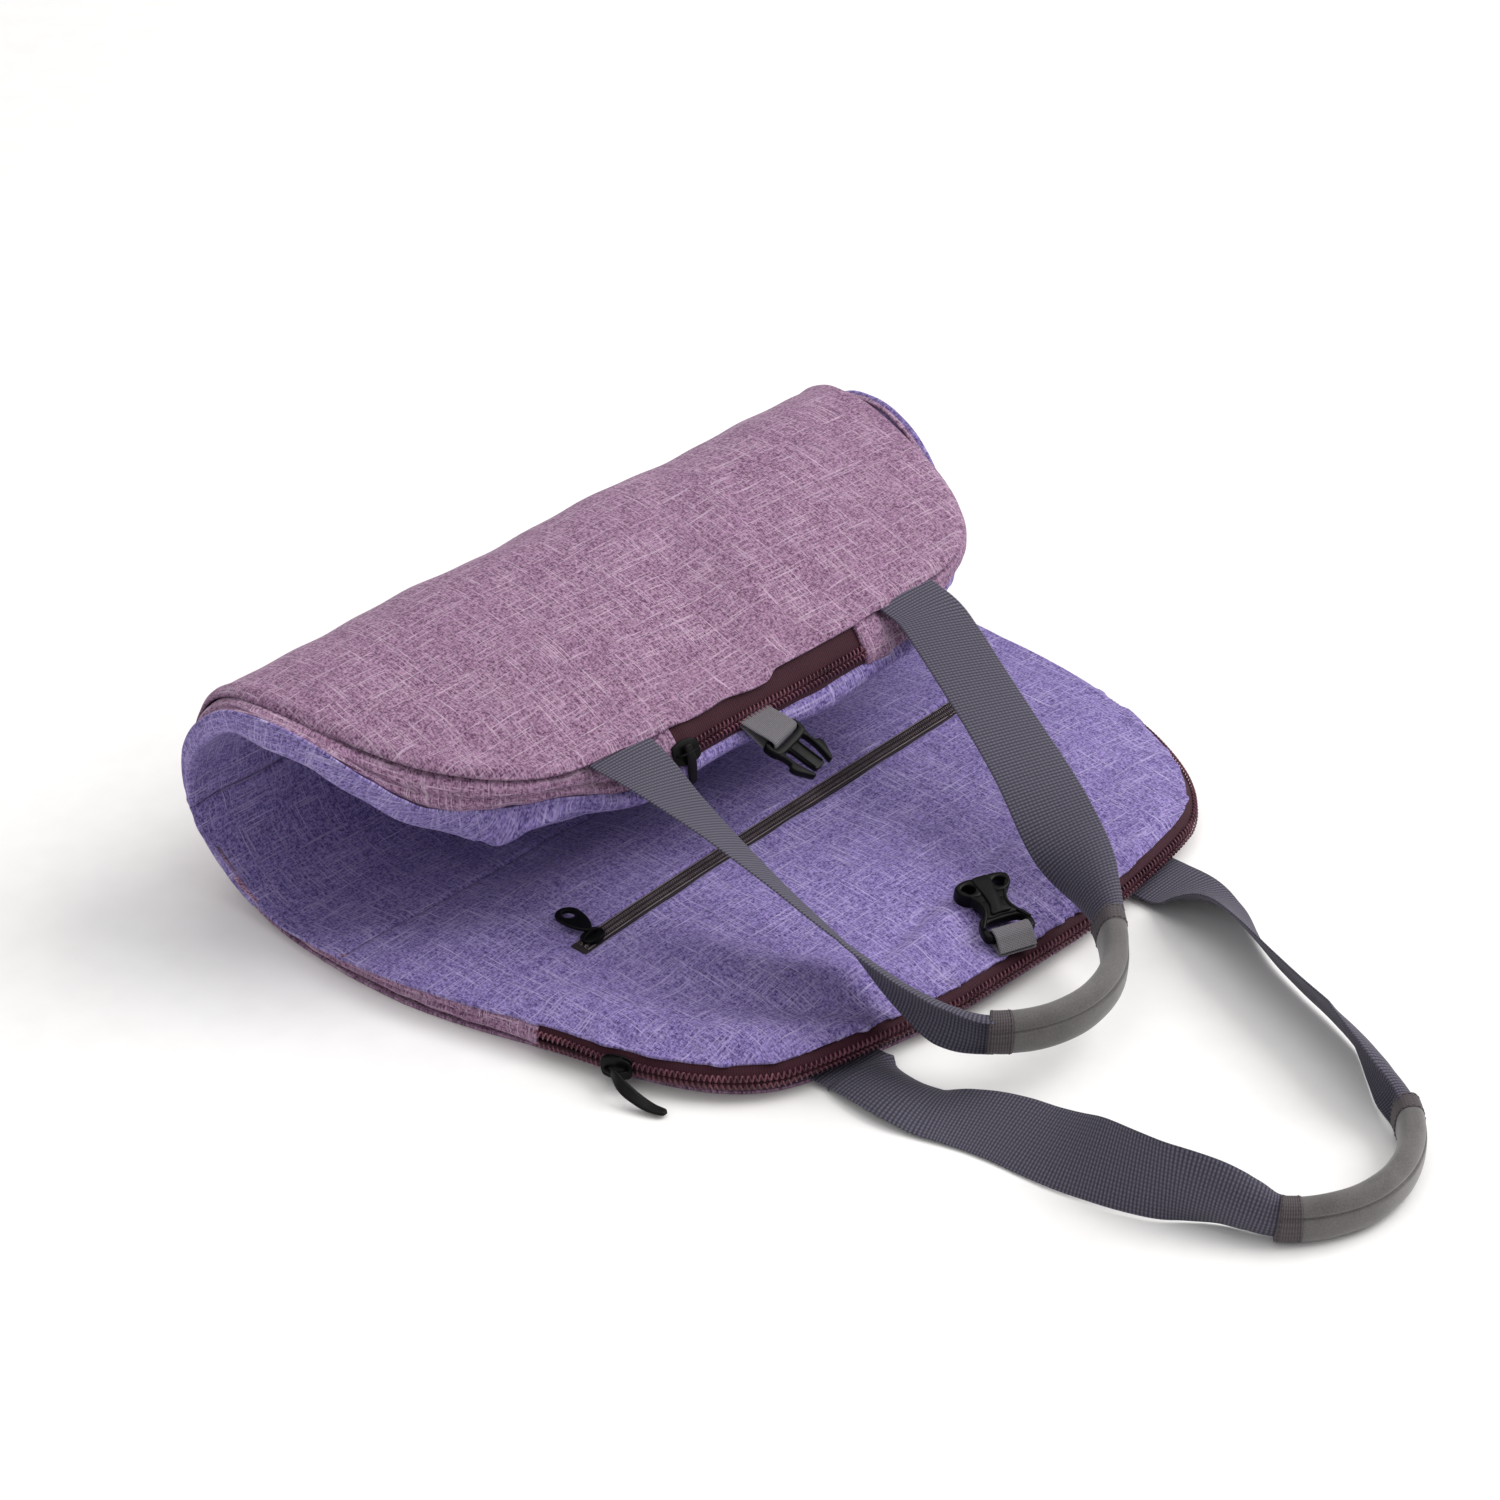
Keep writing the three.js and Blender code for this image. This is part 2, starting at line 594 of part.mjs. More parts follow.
addPiece('lining_upper', liningPiece(upperList, upperEdges), 'lavender');

// A place on the rim: one point under the mauve panel, one behind the lining, and the way out
function rimPlace(half, side, row) {
  const nx = row.nx * side;
  const x = skewAt(half, row.back) + side * row.half - rimInset * nx;
  const back = row.back + rimInset * row.nd;
  const distance = half === 'lower' ? back : outerReach - back;
  const f = frameAt(outerCurve, outerReach, distance);
  const across = Math.abs(x);
  const allow = row.back < 40 && across > strapSeam.from && across < strapSeam.to ? strapSeam.allow : 0;
  const innerAt = innerDistance(distance);
  const flare = side * flareAt(innerAt, side);
  const from = outerPoint(distance, x, clothThick + rimGap + allow);
  const to = innerPoint(innerAt, x + flare, clothThick + air + liningColumn('rise', innerAt));
  const out = f.along.clone().multiplyScalar(half === 'lower' ? -row.nd : row.nd);
  out.x += nx;
  const bulge = zipBulge + (foldBulge - zipBulge) * smooth(row.back, 90, 215);
  return { from, to, out, bulge };
}

function frontPlace(half, x) {
  return rimPlace(half, x < 0 ? -1 : 1, { back: 0, half: Math.abs(x), nx: 0, nd: 1 });
}

function mixPlace(a, b, share) {
  return {
    from: a.from.clone().lerp(b.from, share),
    to: a.to.clone().lerp(b.to, share),
    out: a.out.clone().lerp(b.out, share).normalize(),
    bulge: a.bulge + (b.bulge - a.bulge) * share,
  };
}

// Draws both ends of a run of places in by a little
function shorten(places, atStart, atEnd) {
  const list = [...places];
  const last = list.length - 1;
  if (atStart > 0) {
    list[0] = mixPlace(places[0], places[1], atStart / places[0].from.distanceTo(places[1].from));
  }
  if (atEnd > 0) {
    const before = places[last - 1];
    list[last] = mixPlace(places[last], before, atEnd / places[last].from.distanceTo(before.from));
  }
  return list;
}

// Point on the bulging strip between the two rims, raised along the strip's own normal
function stripPoint(place, w, raise) {
  const across = place.to.clone().sub(place.from);
  const slope = across.clone().addScaledVector(place.out, 4 * place.bulge * (1 - 2 * w));
  const side = vec(0, 0, 0).crossVectors(place.out, across).normalize();
  const normal = vec(0, 0, 0).crossVectors(slope, side).normalize();
  const at = place.from.clone().addScaledVector(across, w);
  at.addScaledVector(place.out, 4 * place.bulge * w * (1 - w));
  return { at: at.addScaledVector(normal, raise), normal, side, across: across.normalize() };
}

function strip(places, share, high, low, count) {
  const grid = (raise) => places.map((place, i) => {
    const [from, to] = share(i);
    return spread(from, to, count).map((w) => stripPoint(place, w, raise).at);
  });
  return closeSheet(grid(high), grid(low));
}
const whole = () => [0, 1];

// Mauve side strips
function gusset(side) {
  const places = [];
  for (let k = zipRow; k <= lastRow; k += 1) {
    places.push(rimPlace('lower', side, rows.lower[k]));
  }
  for (let k = lastRow - 1; k >= upperZipRow; k -= 1) {
    places.push(rimPlace('upper', side, rows.upper[k]));
  }
  return strip(places, whole, 0, -clothThick, 3);
}
addPiece('gusset_left', gusset(-1), 'mauve');
addPiece('gusset_right', gusset(1), 'mauve');

// Zips round the front edges
function frontRun(half, endRow) {
  const left = upTo(endRow + 1).reverse().map((k) => rimPlace(half, -1, rows[half][k]));
  const right = upTo(endRow + 1).map((k) => rimPlace(half, 1, rows[half][k]));
  return [...left, ...[-22, 0, 22].map((x) => frontPlace(half, x)), ...right];
}
const coilShare = [0.36, 0.64];
const tapeShare = [0.33, 0.67];
const openShare = [0.46, 0.54];
const lowerRun = shorten(frontRun('lower', zipRow), air, air);
const lowerSliderPlace = zipRow - sliderRow;
const lowerOpen = (i) => (i < lowerSliderPlace ? openShare : tapeShare);
const upperRun = shorten(frontRun('upper', upperZipRow), air, air);
addPiece('lower_zip_tape_bottom', strip(lowerRun, (i) => [0, lowerOpen(i)[0]], 0, -tapeThick, 2), 'burgundy');
addPiece('lower_zip_tape_top', strip(lowerRun, (i) => [lowerOpen(i)[1], 1], 0, -tapeThick, 2), 'burgundy');
addPiece('lower_zip_coil', strip(lowerRun.slice(lowerSliderPlace), () => coilShare, 1.3, -1.2, 2), 'coil');
addPiece('upper_zip_tape_top', strip(upperRun, () => [0, tapeShare[0]], 0, -tapeThick, 2), 'burgundy');
addPiece('upper_zip_tape_bottom', strip(upperRun, () => [tapeShare[1], 1], 0, -tapeThick, 2), 'burgundy');
addPiece('upper_zip_coil', strip(upperRun, () => coilShare, 1.3, -1.2, 2), 'coil');

// Plates cut from an outline, set on an origin with a forward and an upward direction
function plate(points, holes, thick) {
  const shape = new THREE.Shape(points.map((p) => new THREE.Vector2(p[0], p[1])));
  for (const hole of holes) {
    shape.holes.push(new THREE.Path(hole.map((p) => new THREE.Vector2(p[0], p[1]))));
  }
  const geometry = new THREE.ExtrudeGeometry(shape, { depth: thick, bevelEnabled: false, steps: 1 });
  geometry.deleteAttribute('normal');
  geometry.deleteAttribute('uv');
  return mergeVertices(geometry, 0.001);
}

function setOn(geometry, origin, forward, up) {
  const along = forward.clone().normalize();
  const across = vec(0, 0, 0).crossVectors(along, up).normalize();
  const high = vec(0, 0, 0).crossVectors(across, along);
  geometry.applyMatrix4(new THREE.Matrix4().makeBasis(across, along, high).setPosition(origin));
  return geometry;
}

function oval(x, y, wide, long, count) {
  return Array.from({ length: count }, (_, i) => {
    const turn = (2 * Math.PI * i) / count;
    return [x + (wide / 2) * Math.cos(turn), y + (long / 2) * Math.sin(turn)];
  });
}

function box(wide, from, to) {
  return [[-wide / 2, from], [wide / 2, from], [wide / 2, to], [-wide / 2, to]];
}

function solidOf(geometry) {
  const vertProperties = new Float32Array(geometry.attributes.position.array);
  const triVerts = new Uint32Array(geometry.index.array);
  return new wasm.Manifold(new wasm.Mesh({ numProp: 3, vertProperties, triVerts }));
}

function geometryOf(solid) {
  const mesh = solid.getMesh();
  const geometry = new THREE.BufferGeometry();
  geometry.setAttribute('position', new THREE.Float32BufferAttribute(mesh.vertProperties, 3));
  geometry.setIndex(Array.from(mesh.triVerts));
  return geometry;
}

// Slider: a tapered plate with a raised bridge along it
const sliderOutline = [[-3, -6], [3, -6], [4.6, -2], [4.6, 3], [3.4, 6], [-3.4, 6], [-4.6, 3], [-4.6, -2]];
function sliderBody() {
  const base = solidOf(plate(sliderOutline, [], 2));
  const bridge = plate(box(2.6, -4, 3.4), [], 3.6);
  return geometryOf(base.add(solidOf(bridge)));
}

function sliderOn(place, forwardSign) {
  const spot = stripPoint(place, 0.5, 1.3 + air);
  return setOn(sliderBody(), spot.at, spot.side.clone().multiplyScalar(forwardSign), spot.normal);
}
addPiece('lower_zip_slider', sliderOn(lowerRun[lowerSliderPlace], 1), 'black');
addPiece('upper_zip_slider', sliderOn(mixPlace(upperRun[0], upperRun[1], 0.35), 1), 'black');

// Webbing, pulls and grips carried along a centre line
function pathOf(list) {
  const curve = splineOf(list.map((row) => vec(row.x, row.y, row.z)));
  return { curve, list, reach: curve.getLength() };
}

function pathFrame(path, distance) {
  const u = THREE.MathUtils.clamp(distance / path.reach, 0, 1);
  const spot = path.curve.getUtoTmapping(u) * (path.list.length - 1);
  const k = Math.min(path.list.length - 2, Math.floor(spot));
  const share = spot - k;
  const mix = (key) => path.list[k][key] + share * (path.list[k + 1][key] - path.list[k][key]);
  const at = path.curve.getPointAt(u);
  const along = path.curve.getTangentAt(u);
  const across = vec(mix('wx'), mix('wy'), mix('wz'));
  across.addScaledVector(along, -across.dot(along)).normalize();
  return { at, along, across, up: vec(0, 0, 0).crossVectors(along, across), wide: mix('wide') };
}

// Row across the webbing, dished where it narrows towards the grip
function webRow(frame, full, lift, columns) {
  const dish = webDish * (full - frame.wide);
  return spread(-1, 1, columns).map((q) => {
    const at = frame.at.clone().addScaledVector(frame.across, (q * frame.wide) / 2);
    return at.addScaledVector(frame.up, lift - dish * q * q);
  });
}

function webbing(path, from, to, count, full, thick, columns) {
  const frames = spread(from, to, count).map((distance) => pathFrame(path, distance));
  return closeSheet(
    frames.map((frame) => webRow(frame, full, thick / 2, columns)),
    frames.map((frame) => webRow(frame, full, -thick / 2, columns)),
  );
}

function padded(path, from, to, count, wide, thick) {
  const blunt = (value) => Math.sign(value) * Math.abs(value) ** 0.8;
  const rings = spread(from, to, count).map((distance) => {
    const frame = pathFrame(path, distance);
    return Array.from({ length: 14 }, (_, i) => {
      const turn = (2 * Math.PI * i) / 14;
      const at = frame.at.clone().addScaledVector(frame.across, (wide / 2) * blunt(Math.cos(turn)));
      return at.addScaledVector(frame.up, (thick / 2) * blunt(Math.sin(turn)));
    });
  });
  return closeRings(rings);
}

function rootRow(half, x, back, turn) {
  const distance = half === 'lower' ? back : outerReach - back;
  const at = outerPoint(distance, x, clothThick + air + webThick / 2);
  return { x: at.x, y: at.y, z: at.z, wx: turn, wy: 0, wz: 0, wide: webWide };
}

function handle(half, shape) {
  const left = rootBacks.map((back) => rootRow(half, shape.leftRoot, back, 1));
  const right = [...rootBacks].reverse().map((back) => rootRow(half, shape.rightRoot, back, -1));
  const path = pathOf([...left, ...shape.rows, ...right]);
  const steps = path.list.length - 1;
  const lengths = path.curve.getLengths(1200);
  const distanceAt = (k) => lengths[Math.round((k / steps) * 1200)];
  const from = distanceAt(left.length + shape.gripFrom - 1);
  const to = distanceAt(left.length + shape.gripTo - 1);
  const gripStart = from + bandLong;
  const gripEnd = to - bandLong;
  const leg = (start, end) => webbing(path, start, end, 24, webWide, webThick, 4);
  const band = (start, end) => padded(path, start, end, 2, gripWide + bandExtra, gripThick + bandExtra);
  const grip = padded(path, gripStart + air, gripEnd - air, 12, gripWide, gripThick);
  addPiece(`${half}_handle_webbing_left`, leg(0, from - air), 'webbing');
  addPiece(`${half}_handle_band_left`, band(from, gripStart), 'band');
  addPiece(`${half}_handle_grip`, grip, 'grip');
  addPiece(`${half}_handle_band_right`, band(gripEnd, to), 'band');
  addPiece(`${half}_handle_webbing_right`, leg(to + air, path.reach), 'webbing');
}
handle('lower', lowerHandle);
handle('upper', upperHandle);

function softPull(list) {
  const path = pathOf(list);
  const most = Math.max(...list.map((row) => row.wide)) * 1.001;
  return webbing(path, 0, path.reach, 8, most, pullThick, 2);
}
addPiece('lower_zip_pull', softPull(lowerPull), 'black');
addPiece('upper_zip_pull', softPull(upperPull), 'black');

// Pieces lying on the lower lining
function onLining(x, y, raise) {
  const distance = y - innerTable[0].y;
  const off = x - skewAt('lower', distance);
  const wide = halfAt('lower', distance) + flareAt(distance, off);
  return liningPoint(distance, x, wide - Math.abs(off), off / wide, -raise);
}

function liningStrip(from, to, wide, low, high) {
  const grid = (raise) => spread(from, to, 18).map((x) => {
    const y = pocketZip.fromY + pocketZip.rise * (x - pocketZip.fromX);
    return spread(-wide / 2, wide / 2, 2).map((dy) => onLining(x, y + dy, raise));
  });
  return closeSheet(grid(high), grid(low));
}
const pocketTapeTop = air + 0.8;
const pocketCoilTop = pocketTapeTop + air + 1.4;
const pocketCoilFrom = pocketZip.fromX + 4;
const pocketCoilTo = pocketZip.toX - 3;
const pocketTape = liningStrip(pocketZip.fromX, pocketZip.toX, pocketTapeWide, air, pocketTapeTop);
const pocketCoilLow = pocketTapeTop + air;
const pocketCoil = liningStrip(pocketCoilFrom, pocketCoilTo, pocketCoilWide, pocketCoilLow, pocketCoilTop);
addPiece('pocket_zip_tape', pocketTape, 'pocketTape');
addPiece('pocket_zip_coil', pocketCoil, 'pocketTape');

const pocketSliderY = pocketZip.fromY + pocketZip.rise * 11;
const pocketSliderAt = onLining(pocketZip.fromX + 11, pocketSliderY, pocketCoilTop + air);
const pocketAlong = vec(1, pocketZip.rise, 0.04);
addPiece('pocket_zip_slider', setOn(sliderBody(), pocketSliderAt, pocketAlong, vec(0, 0, 1)), 'black');

const ringMiddle = ringPull.long - ringPull.wide / 2;
const ringEye = ringPull.wide - 2 * ringPull.eye;
const ringRound = oval(0, ringMiddle, ringPull.wide, ringPull.wide, 18).slice(0, 10);
const ringOutline = [[-2.2, 0], [2.2, 0], ...ringRound];
const ringHole = oval(0, ringMiddle, ringEye, ringEye, 14);
const ringFrom = vec(pocketSliderAt.x - 0.5, pocketSliderAt.y + 5.2, pocketSliderAt.z + 0.8);
const ringTo = onLining(pocketSliderAt.x - 3, pocketSliderAt.y + 28, 1.4);
addPiece(
  'pocket_zip_pull',
  setOn(plate(ringOutline, [ringHole], ringPull.thick), ringFrom, ringTo.sub(ringFrom), vec(0, 0, 1)),
  'black',
);

// Buckle outlines mirrored about their own length
function mirrored(list) {
  const right = list.map((row) => [row.half, row.along]);
  const left = list.map((row) => [-row.half, row.along]).reverse();
  return [...right, ...left];
}
const slotHole = box(2 * barSlot.half, barSlot.from, barSlot.to);

function socketBody() {
  const shellOutline = mirrored([{ along: socketFrame.until, half: 13 }, ...socketOutline.slice(3)]);
  const { across, along, wide, long } = socketHoles;
  const holes = [oval(-across, along, wide, long, 12), oval(across, along, wide, long, 12)];
  const shell = solidOf(plate(shellOutline, holes, socketThick));
  const frameOutline = mirrored([...socketOutline.slice(0, 3), { along: 12, half: 10 }]);
  const frame = plate(frameOutline, [slotHole], socketFrame.to - socketFrame.from);
  frame.translate(0, 0, socketFrame.from);
  const mouthHigh = socketMouth.high - socketMouth.low;
  const mouth = plate(box(2 * socketMouth.half, socketMouth.from, 60), [], mouthHigh);
  mouth.translate(0, 0, socketMouth.low);
  return geometryOf(shell.add(solidOf(frame)).subtract(solidOf(mouth)));
}

// Elastic doubled round the end bar of a buckle half, in the plane along and above the buckle, with a tail
// that dips to the seam
function elasticLoop(tail, dip, barLow, barHigh) {
  const low = barLow - 1.5 * air - elasticThick / 2;
  const high = barHigh + 1.5 * air + elasticThick / 2;
  const middle = (barLow + barHigh) / 2;
  const through = barSlot.from + 2 * air + elasticThick / 2;
  const line = splineOf([
    vec(0, -tail, middle - 1 - dip),
    vec(0, -tail * 0.5, (low + middle) / 2 - 0.4 - 0.3 * dip),
    vec(0, -0.8, low),
    vec(0, through - 0.8, low),
    vec(0, through + 0.25, middle),
    vec(0, through - 0.8, high),
    vec(0, -0.8, high),
    vec(0, -tail * 0.5, (high + middle) / 2 + 0.4 - 0.3 * dip),
    vec(0, -tail, middle + 1 - dip),
  ]);
  const grid = (raise) => spread(0, 1, 18).map((u) => {
    const at = line.getPointAt(u);
    const along = line.getTangentAt(u);
    const y = at.y - along.z * raise;
    const z = at.z + along.y * raise;
    return [vec(-elasticWide / 2, y, z), vec(elasticWide / 2, y, z)];
  });
  return closeSheet(grid(elasticThick / 2), grid(-elasticThick / 2));
}

const yaw = THREE.MathUtils.degToRad(socketAt.yaw);
const socketLong = socketOutline[socketOutline.length - 1].along;
const socketFrom = onLining(socketAt.x, socketAt.y, socketAt.clear);
const socketEndX = socketAt.x + socketLong * Math.sin(yaw);
const socketEndY = socketAt.y + socketLong * Math.cos(yaw);
const socketEnd = onLining(socketEndX, socketEndY, socketAt.clear);
const socketWay = socketEnd.clone().sub(socketFrom);
addPiece('buckle_socket', setOn(socketBody(), socketFrom, socketWay, vec(0, 0, 1)), 'black');
const socketLoop = elasticLoop(socketElastic.tail, socketElastic.dip, socketFrame.from, socketFrame.to);
addPiece('buckle_socket_elastic', setOn(socketLoop, socketFrom, socketWay, vec(0, 0, 1)), 'elastic');

const plugWay = vec(plugHang.x, plugHang.y, plugHang.z).normalize();
const plugFrom = vec(plugAt.x, plugAt.y, plugAt.z).addScaledVector(plugWay, plugElastic.tail);
const plugUp = vec(0, -0.35, 1);
const plugBody = plate(mirrored(plugOutline), [slotHole], plugThick);
const plugLoop = elasticLoop(plugElastic.tail, plugElastic.dip, 0, plugThick);
addPiece('buckle_plug', setOn(plugBody, plugFrom, plugWay, plugUp), 'black');
addPiece('buckle_plug_elastic', setOn(plugLoop, plugFrom, plugWay, plugUp), 'elastic');

export default group;
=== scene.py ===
import math

import bpy
import numpy as np
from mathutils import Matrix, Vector


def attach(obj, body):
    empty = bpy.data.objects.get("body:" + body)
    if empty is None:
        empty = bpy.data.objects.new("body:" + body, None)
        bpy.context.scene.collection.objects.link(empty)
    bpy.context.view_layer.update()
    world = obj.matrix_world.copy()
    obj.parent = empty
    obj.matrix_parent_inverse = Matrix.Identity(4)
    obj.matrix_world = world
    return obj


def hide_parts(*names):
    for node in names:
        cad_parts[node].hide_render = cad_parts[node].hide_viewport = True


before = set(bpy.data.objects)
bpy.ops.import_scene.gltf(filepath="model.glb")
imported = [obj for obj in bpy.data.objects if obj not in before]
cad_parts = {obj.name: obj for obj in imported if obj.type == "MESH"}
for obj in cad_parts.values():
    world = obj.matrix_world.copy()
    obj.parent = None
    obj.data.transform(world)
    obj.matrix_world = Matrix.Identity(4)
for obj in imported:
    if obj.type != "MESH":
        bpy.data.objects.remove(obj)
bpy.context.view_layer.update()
scene = bpy.context.scene
print("frame loaded:", len(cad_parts), "nodes")

# all sizes below are millimetres in the part's own frame, metres only when a mesh is written

# camera, floor and light
cameraSet = {"place": (-1593.0, -1514.9, 1531.6), "aim": (53.8, 103.5, 0.0), "lens": 124.8, "sensor": 36.0}
cameraData = bpy.data.cameras.new("studioCamera")
cameraData.lens = cameraSet["lens"]
cameraData.sensor_width = cameraSet["sensor"]
cameraData.clip_end = 50
camera = bpy.data.objects.new("studioCamera", cameraData)
camera.location = Vector(cameraSet["place"]) / 1000
cameraWay = Vector(cameraSet["aim"]) - Vector(cameraSet["place"])
camera.rotation_euler = cameraWay.to_track_quat("-Z", "Y").to_euler()
scene.collection.objects.link(camera)
scene.camera = camera
scene.view_settings.view_transform = "Standard"


def linear(code):
    parts = np.array([int(code[i:i + 2], 16) for i in (1, 3, 5)]) / 255
    bright = ((parts + 0.055) / 1.055) ** 2.4
    return (*np.where(parts <= 0.04045, parts / 12.92, bright).tolist(), 1.0)


# links sockets to a node's inputs and sets its constants
def feed(tree, inputs, sockets):
    for key, value in sockets.items():
        if isinstance(value, bpy.types.NodeSocket):
            tree.links.new(value, inputs[key])
        else:
            inputs[key].default_value = value


# one node with its settings, its links and its constants
def add(tree, kind, sockets=None, **settings):
    made = tree.nodes.new("ShaderNode" + kind)
    for key, value in settings.items():
        setattr(made, key, value)
    feed(tree, made.inputs, sockets or {})
    return made.outputs


def newMaterial(name):
    made = bpy.data.materials.new(name)
    made.use_nodes = True
    return made, made.node_tree, made.node_tree.nodes["Principled BSDF"].inputs


# slub-woven polyester, the eye sees a heathered plain weave, each thread changing tone along its length, with
# a few thin pale slubs both ways; threads of 0.4 mm are drawn 0.62 mm wide, since finer ones don't show here
def slubCloth(name, tones, thread=0.62, toneLong=2.2, slubLong=32.0):
    made, tree, shader = newMaterial(name)
    shades = {key: linear(code) for key, code in tones.items()}
    place = add(tree, "UVMap", uv_map="cloth")[0]
    parts = add(tree, "SeparateXYZ", {0: place})
    count, tone, slub = [], [], []
    for here, along, seed in ((0, 1, 0.37), (1, 0, 51.83)):
        cell = add(tree, "Math", {0: parts[here], 1: 1 / thread}, operation="MULTIPLY")[0]
        count.append(add(tree, "Math", {0: cell}, operation="FLOOR")[0])
        own = add(tree, "Math", {0: count[-1], 1: 3.71, 2: seed}, operation="MULTIPLY_ADD")[0]
        for long, kept in ((toneLong, tone), (slubLong, slub)):
            reach = add(tree, "Math", {0: parts[along], 1: 1 / long}, operation="MULTIPLY")[0]
            spot = add(tree, "CombineXYZ", {0: own, 1: reach})[0]
            kept.append(add(tree, "TexNoise", {"Vector": spot, "Scale": 1.0, "Detail": 1.0},
                            noise_dimensions="2D")[0])
    crossing = add(tree, "Math", {0: count[0], 1: count[1]}, operation="ADD")[0]
    over = add(tree, "Math", {0: crossing, 1: 1.0}, operation="PINGPONG")[0]  # which thread lies on top
    top = add(tree, "Mix", {0: over, 2: tone[0], 3: tone[1]}, data_type="FLOAT")[0]
    both = add(tree, "Math", {0: tone[0], 1: tone[1]}, operation="ADD")[0]
    mixed = add(tree, "Math", {0: both, 1: top}, operation="ADD")[0]
    heather = add(tree, "MapRange", {"Value": mixed, "From Min": 1.05, "From Max": 1.95})[0]
    most = add(tree, "Math", {0: slub[0], 1: slub[1]}, operation="MAXIMUM")[0]
    pale = add(tree, "MapRange", {"Value": most, "From Min": 0.57, "From Max": 0.85, "To Max": 0.5})[0]
    cloud = add(tree, "TexNoise", {"Vector": place, "Scale": 0.015, "Detail": 3.0})[0]  # patches of 67 mm
    worn = add(tree, "MapRange", {"Value": cloud, "From Min": 0.35, "From Max": 0.7, "To Max": 0.15})[0]
    colour = shades["dark"]
    for share, shade in ((heather, "middle"), (pale, "pale"), (worn, "faded")):
        colour = add(tree, "Mix", {0: share, 6: colour, 7: shades[shade]}, data_type="RGBA")[2]
    rough = add(tree, "MapRange", {"Value": heather, "To Min": 0.95, "To Max": 0.8})[0]
    raised = add(tree, "Math", {0: pale, 1: 0.6, 2: heather}, operation="MULTIPLY_ADD")[0]
    bump = add(tree, "Bump", {"Height": raised, "Strength": 0.4, "Distance": 0.0004})[0]
    feed(tree, shader, {"Base Color": colour, "Roughness": rough, "Normal": bump, "Sheen Weight": 0.2,
                        "Sheen Roughness": 0.6, "Sheen Tint": shades["pale"], "Specular IOR Level": 0.15})
    return made


# flat woven strap, the eye sees fine cross ribs parted by lengthwise yarns; its colour follows the weave's
# height, painted shade in the valleys and painted highlight on the crests; real ribs and yarns are about
# half as wide as these and would not show here; rib, yarn and depth in mm
def wovenStrap(name, dark, pale, rib, yarn, depth):
    made, tree, shader = newMaterial(name)
    place = add(tree, "UVMap", uv_map="cloth")[0]
    parts = add(tree, "SeparateXYZ", {0: place})
    waves = []
    for value, pitch in ((parts[1], rib), (parts[0], yarn)):
        turn = add(tree, "Math", {0: value, 1: 2 * math.pi / pitch}, operation="MULTIPLY")[0]
        wave = add(tree, "Math", {0: turn}, operation="SINE")[0]
        waves.append(add(tree, "MapRange", {"Value": wave, "From Min": -1.0, "From Max": 1.0})[0])
    yarns = add(tree, "MapRange", {"Value": waves[1], "To Min": 0.45})[0]
    cells = add(tree, "Math", {0: waves[0], 1: yarns}, operation="MULTIPLY")[0]
    weave = add(tree, "MapRange", {"Value": cells, "From Min": 0.0, "From Max": 0.9, "To Min": 0.1})[0]
    fuzz = add(tree, "TexNoise", {"Vector": place, "Scale": 0.9, "Detail": 3.0})[0]
    fuzzRange = {"Value": fuzz, "From Min": 0.3, "From Max": 0.7}
    tint = add(tree, "MapRange", {**fuzzRange, "To Min": -0.15, "To Max": 0.15})[0]
    shade = add(tree, "Math", {0: weave, 1: tint}, operation="ADD", use_clamp=True)[0]
    # colour follows the weave's height: painted shade in the valleys, painted highlight on the crests, with
    # random fuzz
    colour = add(tree, "Mix", {0: shade, 6: linear(dark), 7: linear(pale)}, data_type="RGBA")[2]
    rough = add(tree, "MapRange", {**fuzzRange, "To Min": 0.62, "To Max": 0.8})[0]
    bump = add(tree, "Bump", {"Height": weave, "Strength": 0.6, "Distance": depth / 1000})[0]
    feed(tree, shader, {"Base Color": colour, "Roughness": rough, "Normal": bump, "Sheen Weight": 0.08,
                        "Specular IOR Level": 0.22})
    return made


# smooth or fuzzy finishes, the eye sees a plain tone broken by fine grain and slow wear, sizes in mm
def grainFinish(name, dark, pale, grain, depth, roughness, sheen=0.0, gloss=0.35):
    made, tree, shader = newMaterial(name)
    place = add(tree, "TexCoord")["Object"]
    fine = add(tree, "TexNoise", {"Vector": place, "Scale": 1000 / grain, "Detail": 3.0, "Roughness": 0.6})[0]
    slow = add(tree, "TexNoise", {"Vector": place, "Scale": 55.0, "Detail": 3.0})[0]  # patches of 18 mm
    both = add(tree, "Math", {0: fine, 1: slow}, operation="ADD")[0]
    shade = add(tree, "MapRange", {"Value": both, "From Min": 0.75, "From Max": 1.25})[0]
    colour = add(tree, "Mix", {0: shade, 6: linear(dark), 7: linear(pale)}, data_type="RGBA")[2]
    rough = add(tree, "MapRange", {"Value": slow, "From Min": 0.3, "From Max": 0.7,
                                   "To Min": roughness - 0.06, "To Max": roughness + 0.08})[0]
    bump = add(tree, "Bump", {"Height": fine, "Strength": 0.35, "Distance": depth / 1000})[0]
    feed(tree, shader, {"Base Color": colour, "Roughness": rough, "Normal": bump, "Sheen Weight": sheen,
                        "Specular IOR Level": gloss})
    return made


mauveCloth = slubCloth("mauveSlubWeave", {"dark": "#4F2F4A", "middle": "#A682A0", "pale": "#DCC8D8",
                                          "faded": "#93708E"})
lavenderCloth = slubCloth("lavenderSlubWeave", {"dark": "#40346A", "middle": "#9584BF", "pale": "#D2C8EA",
                                                "faded": "#8878B4"})
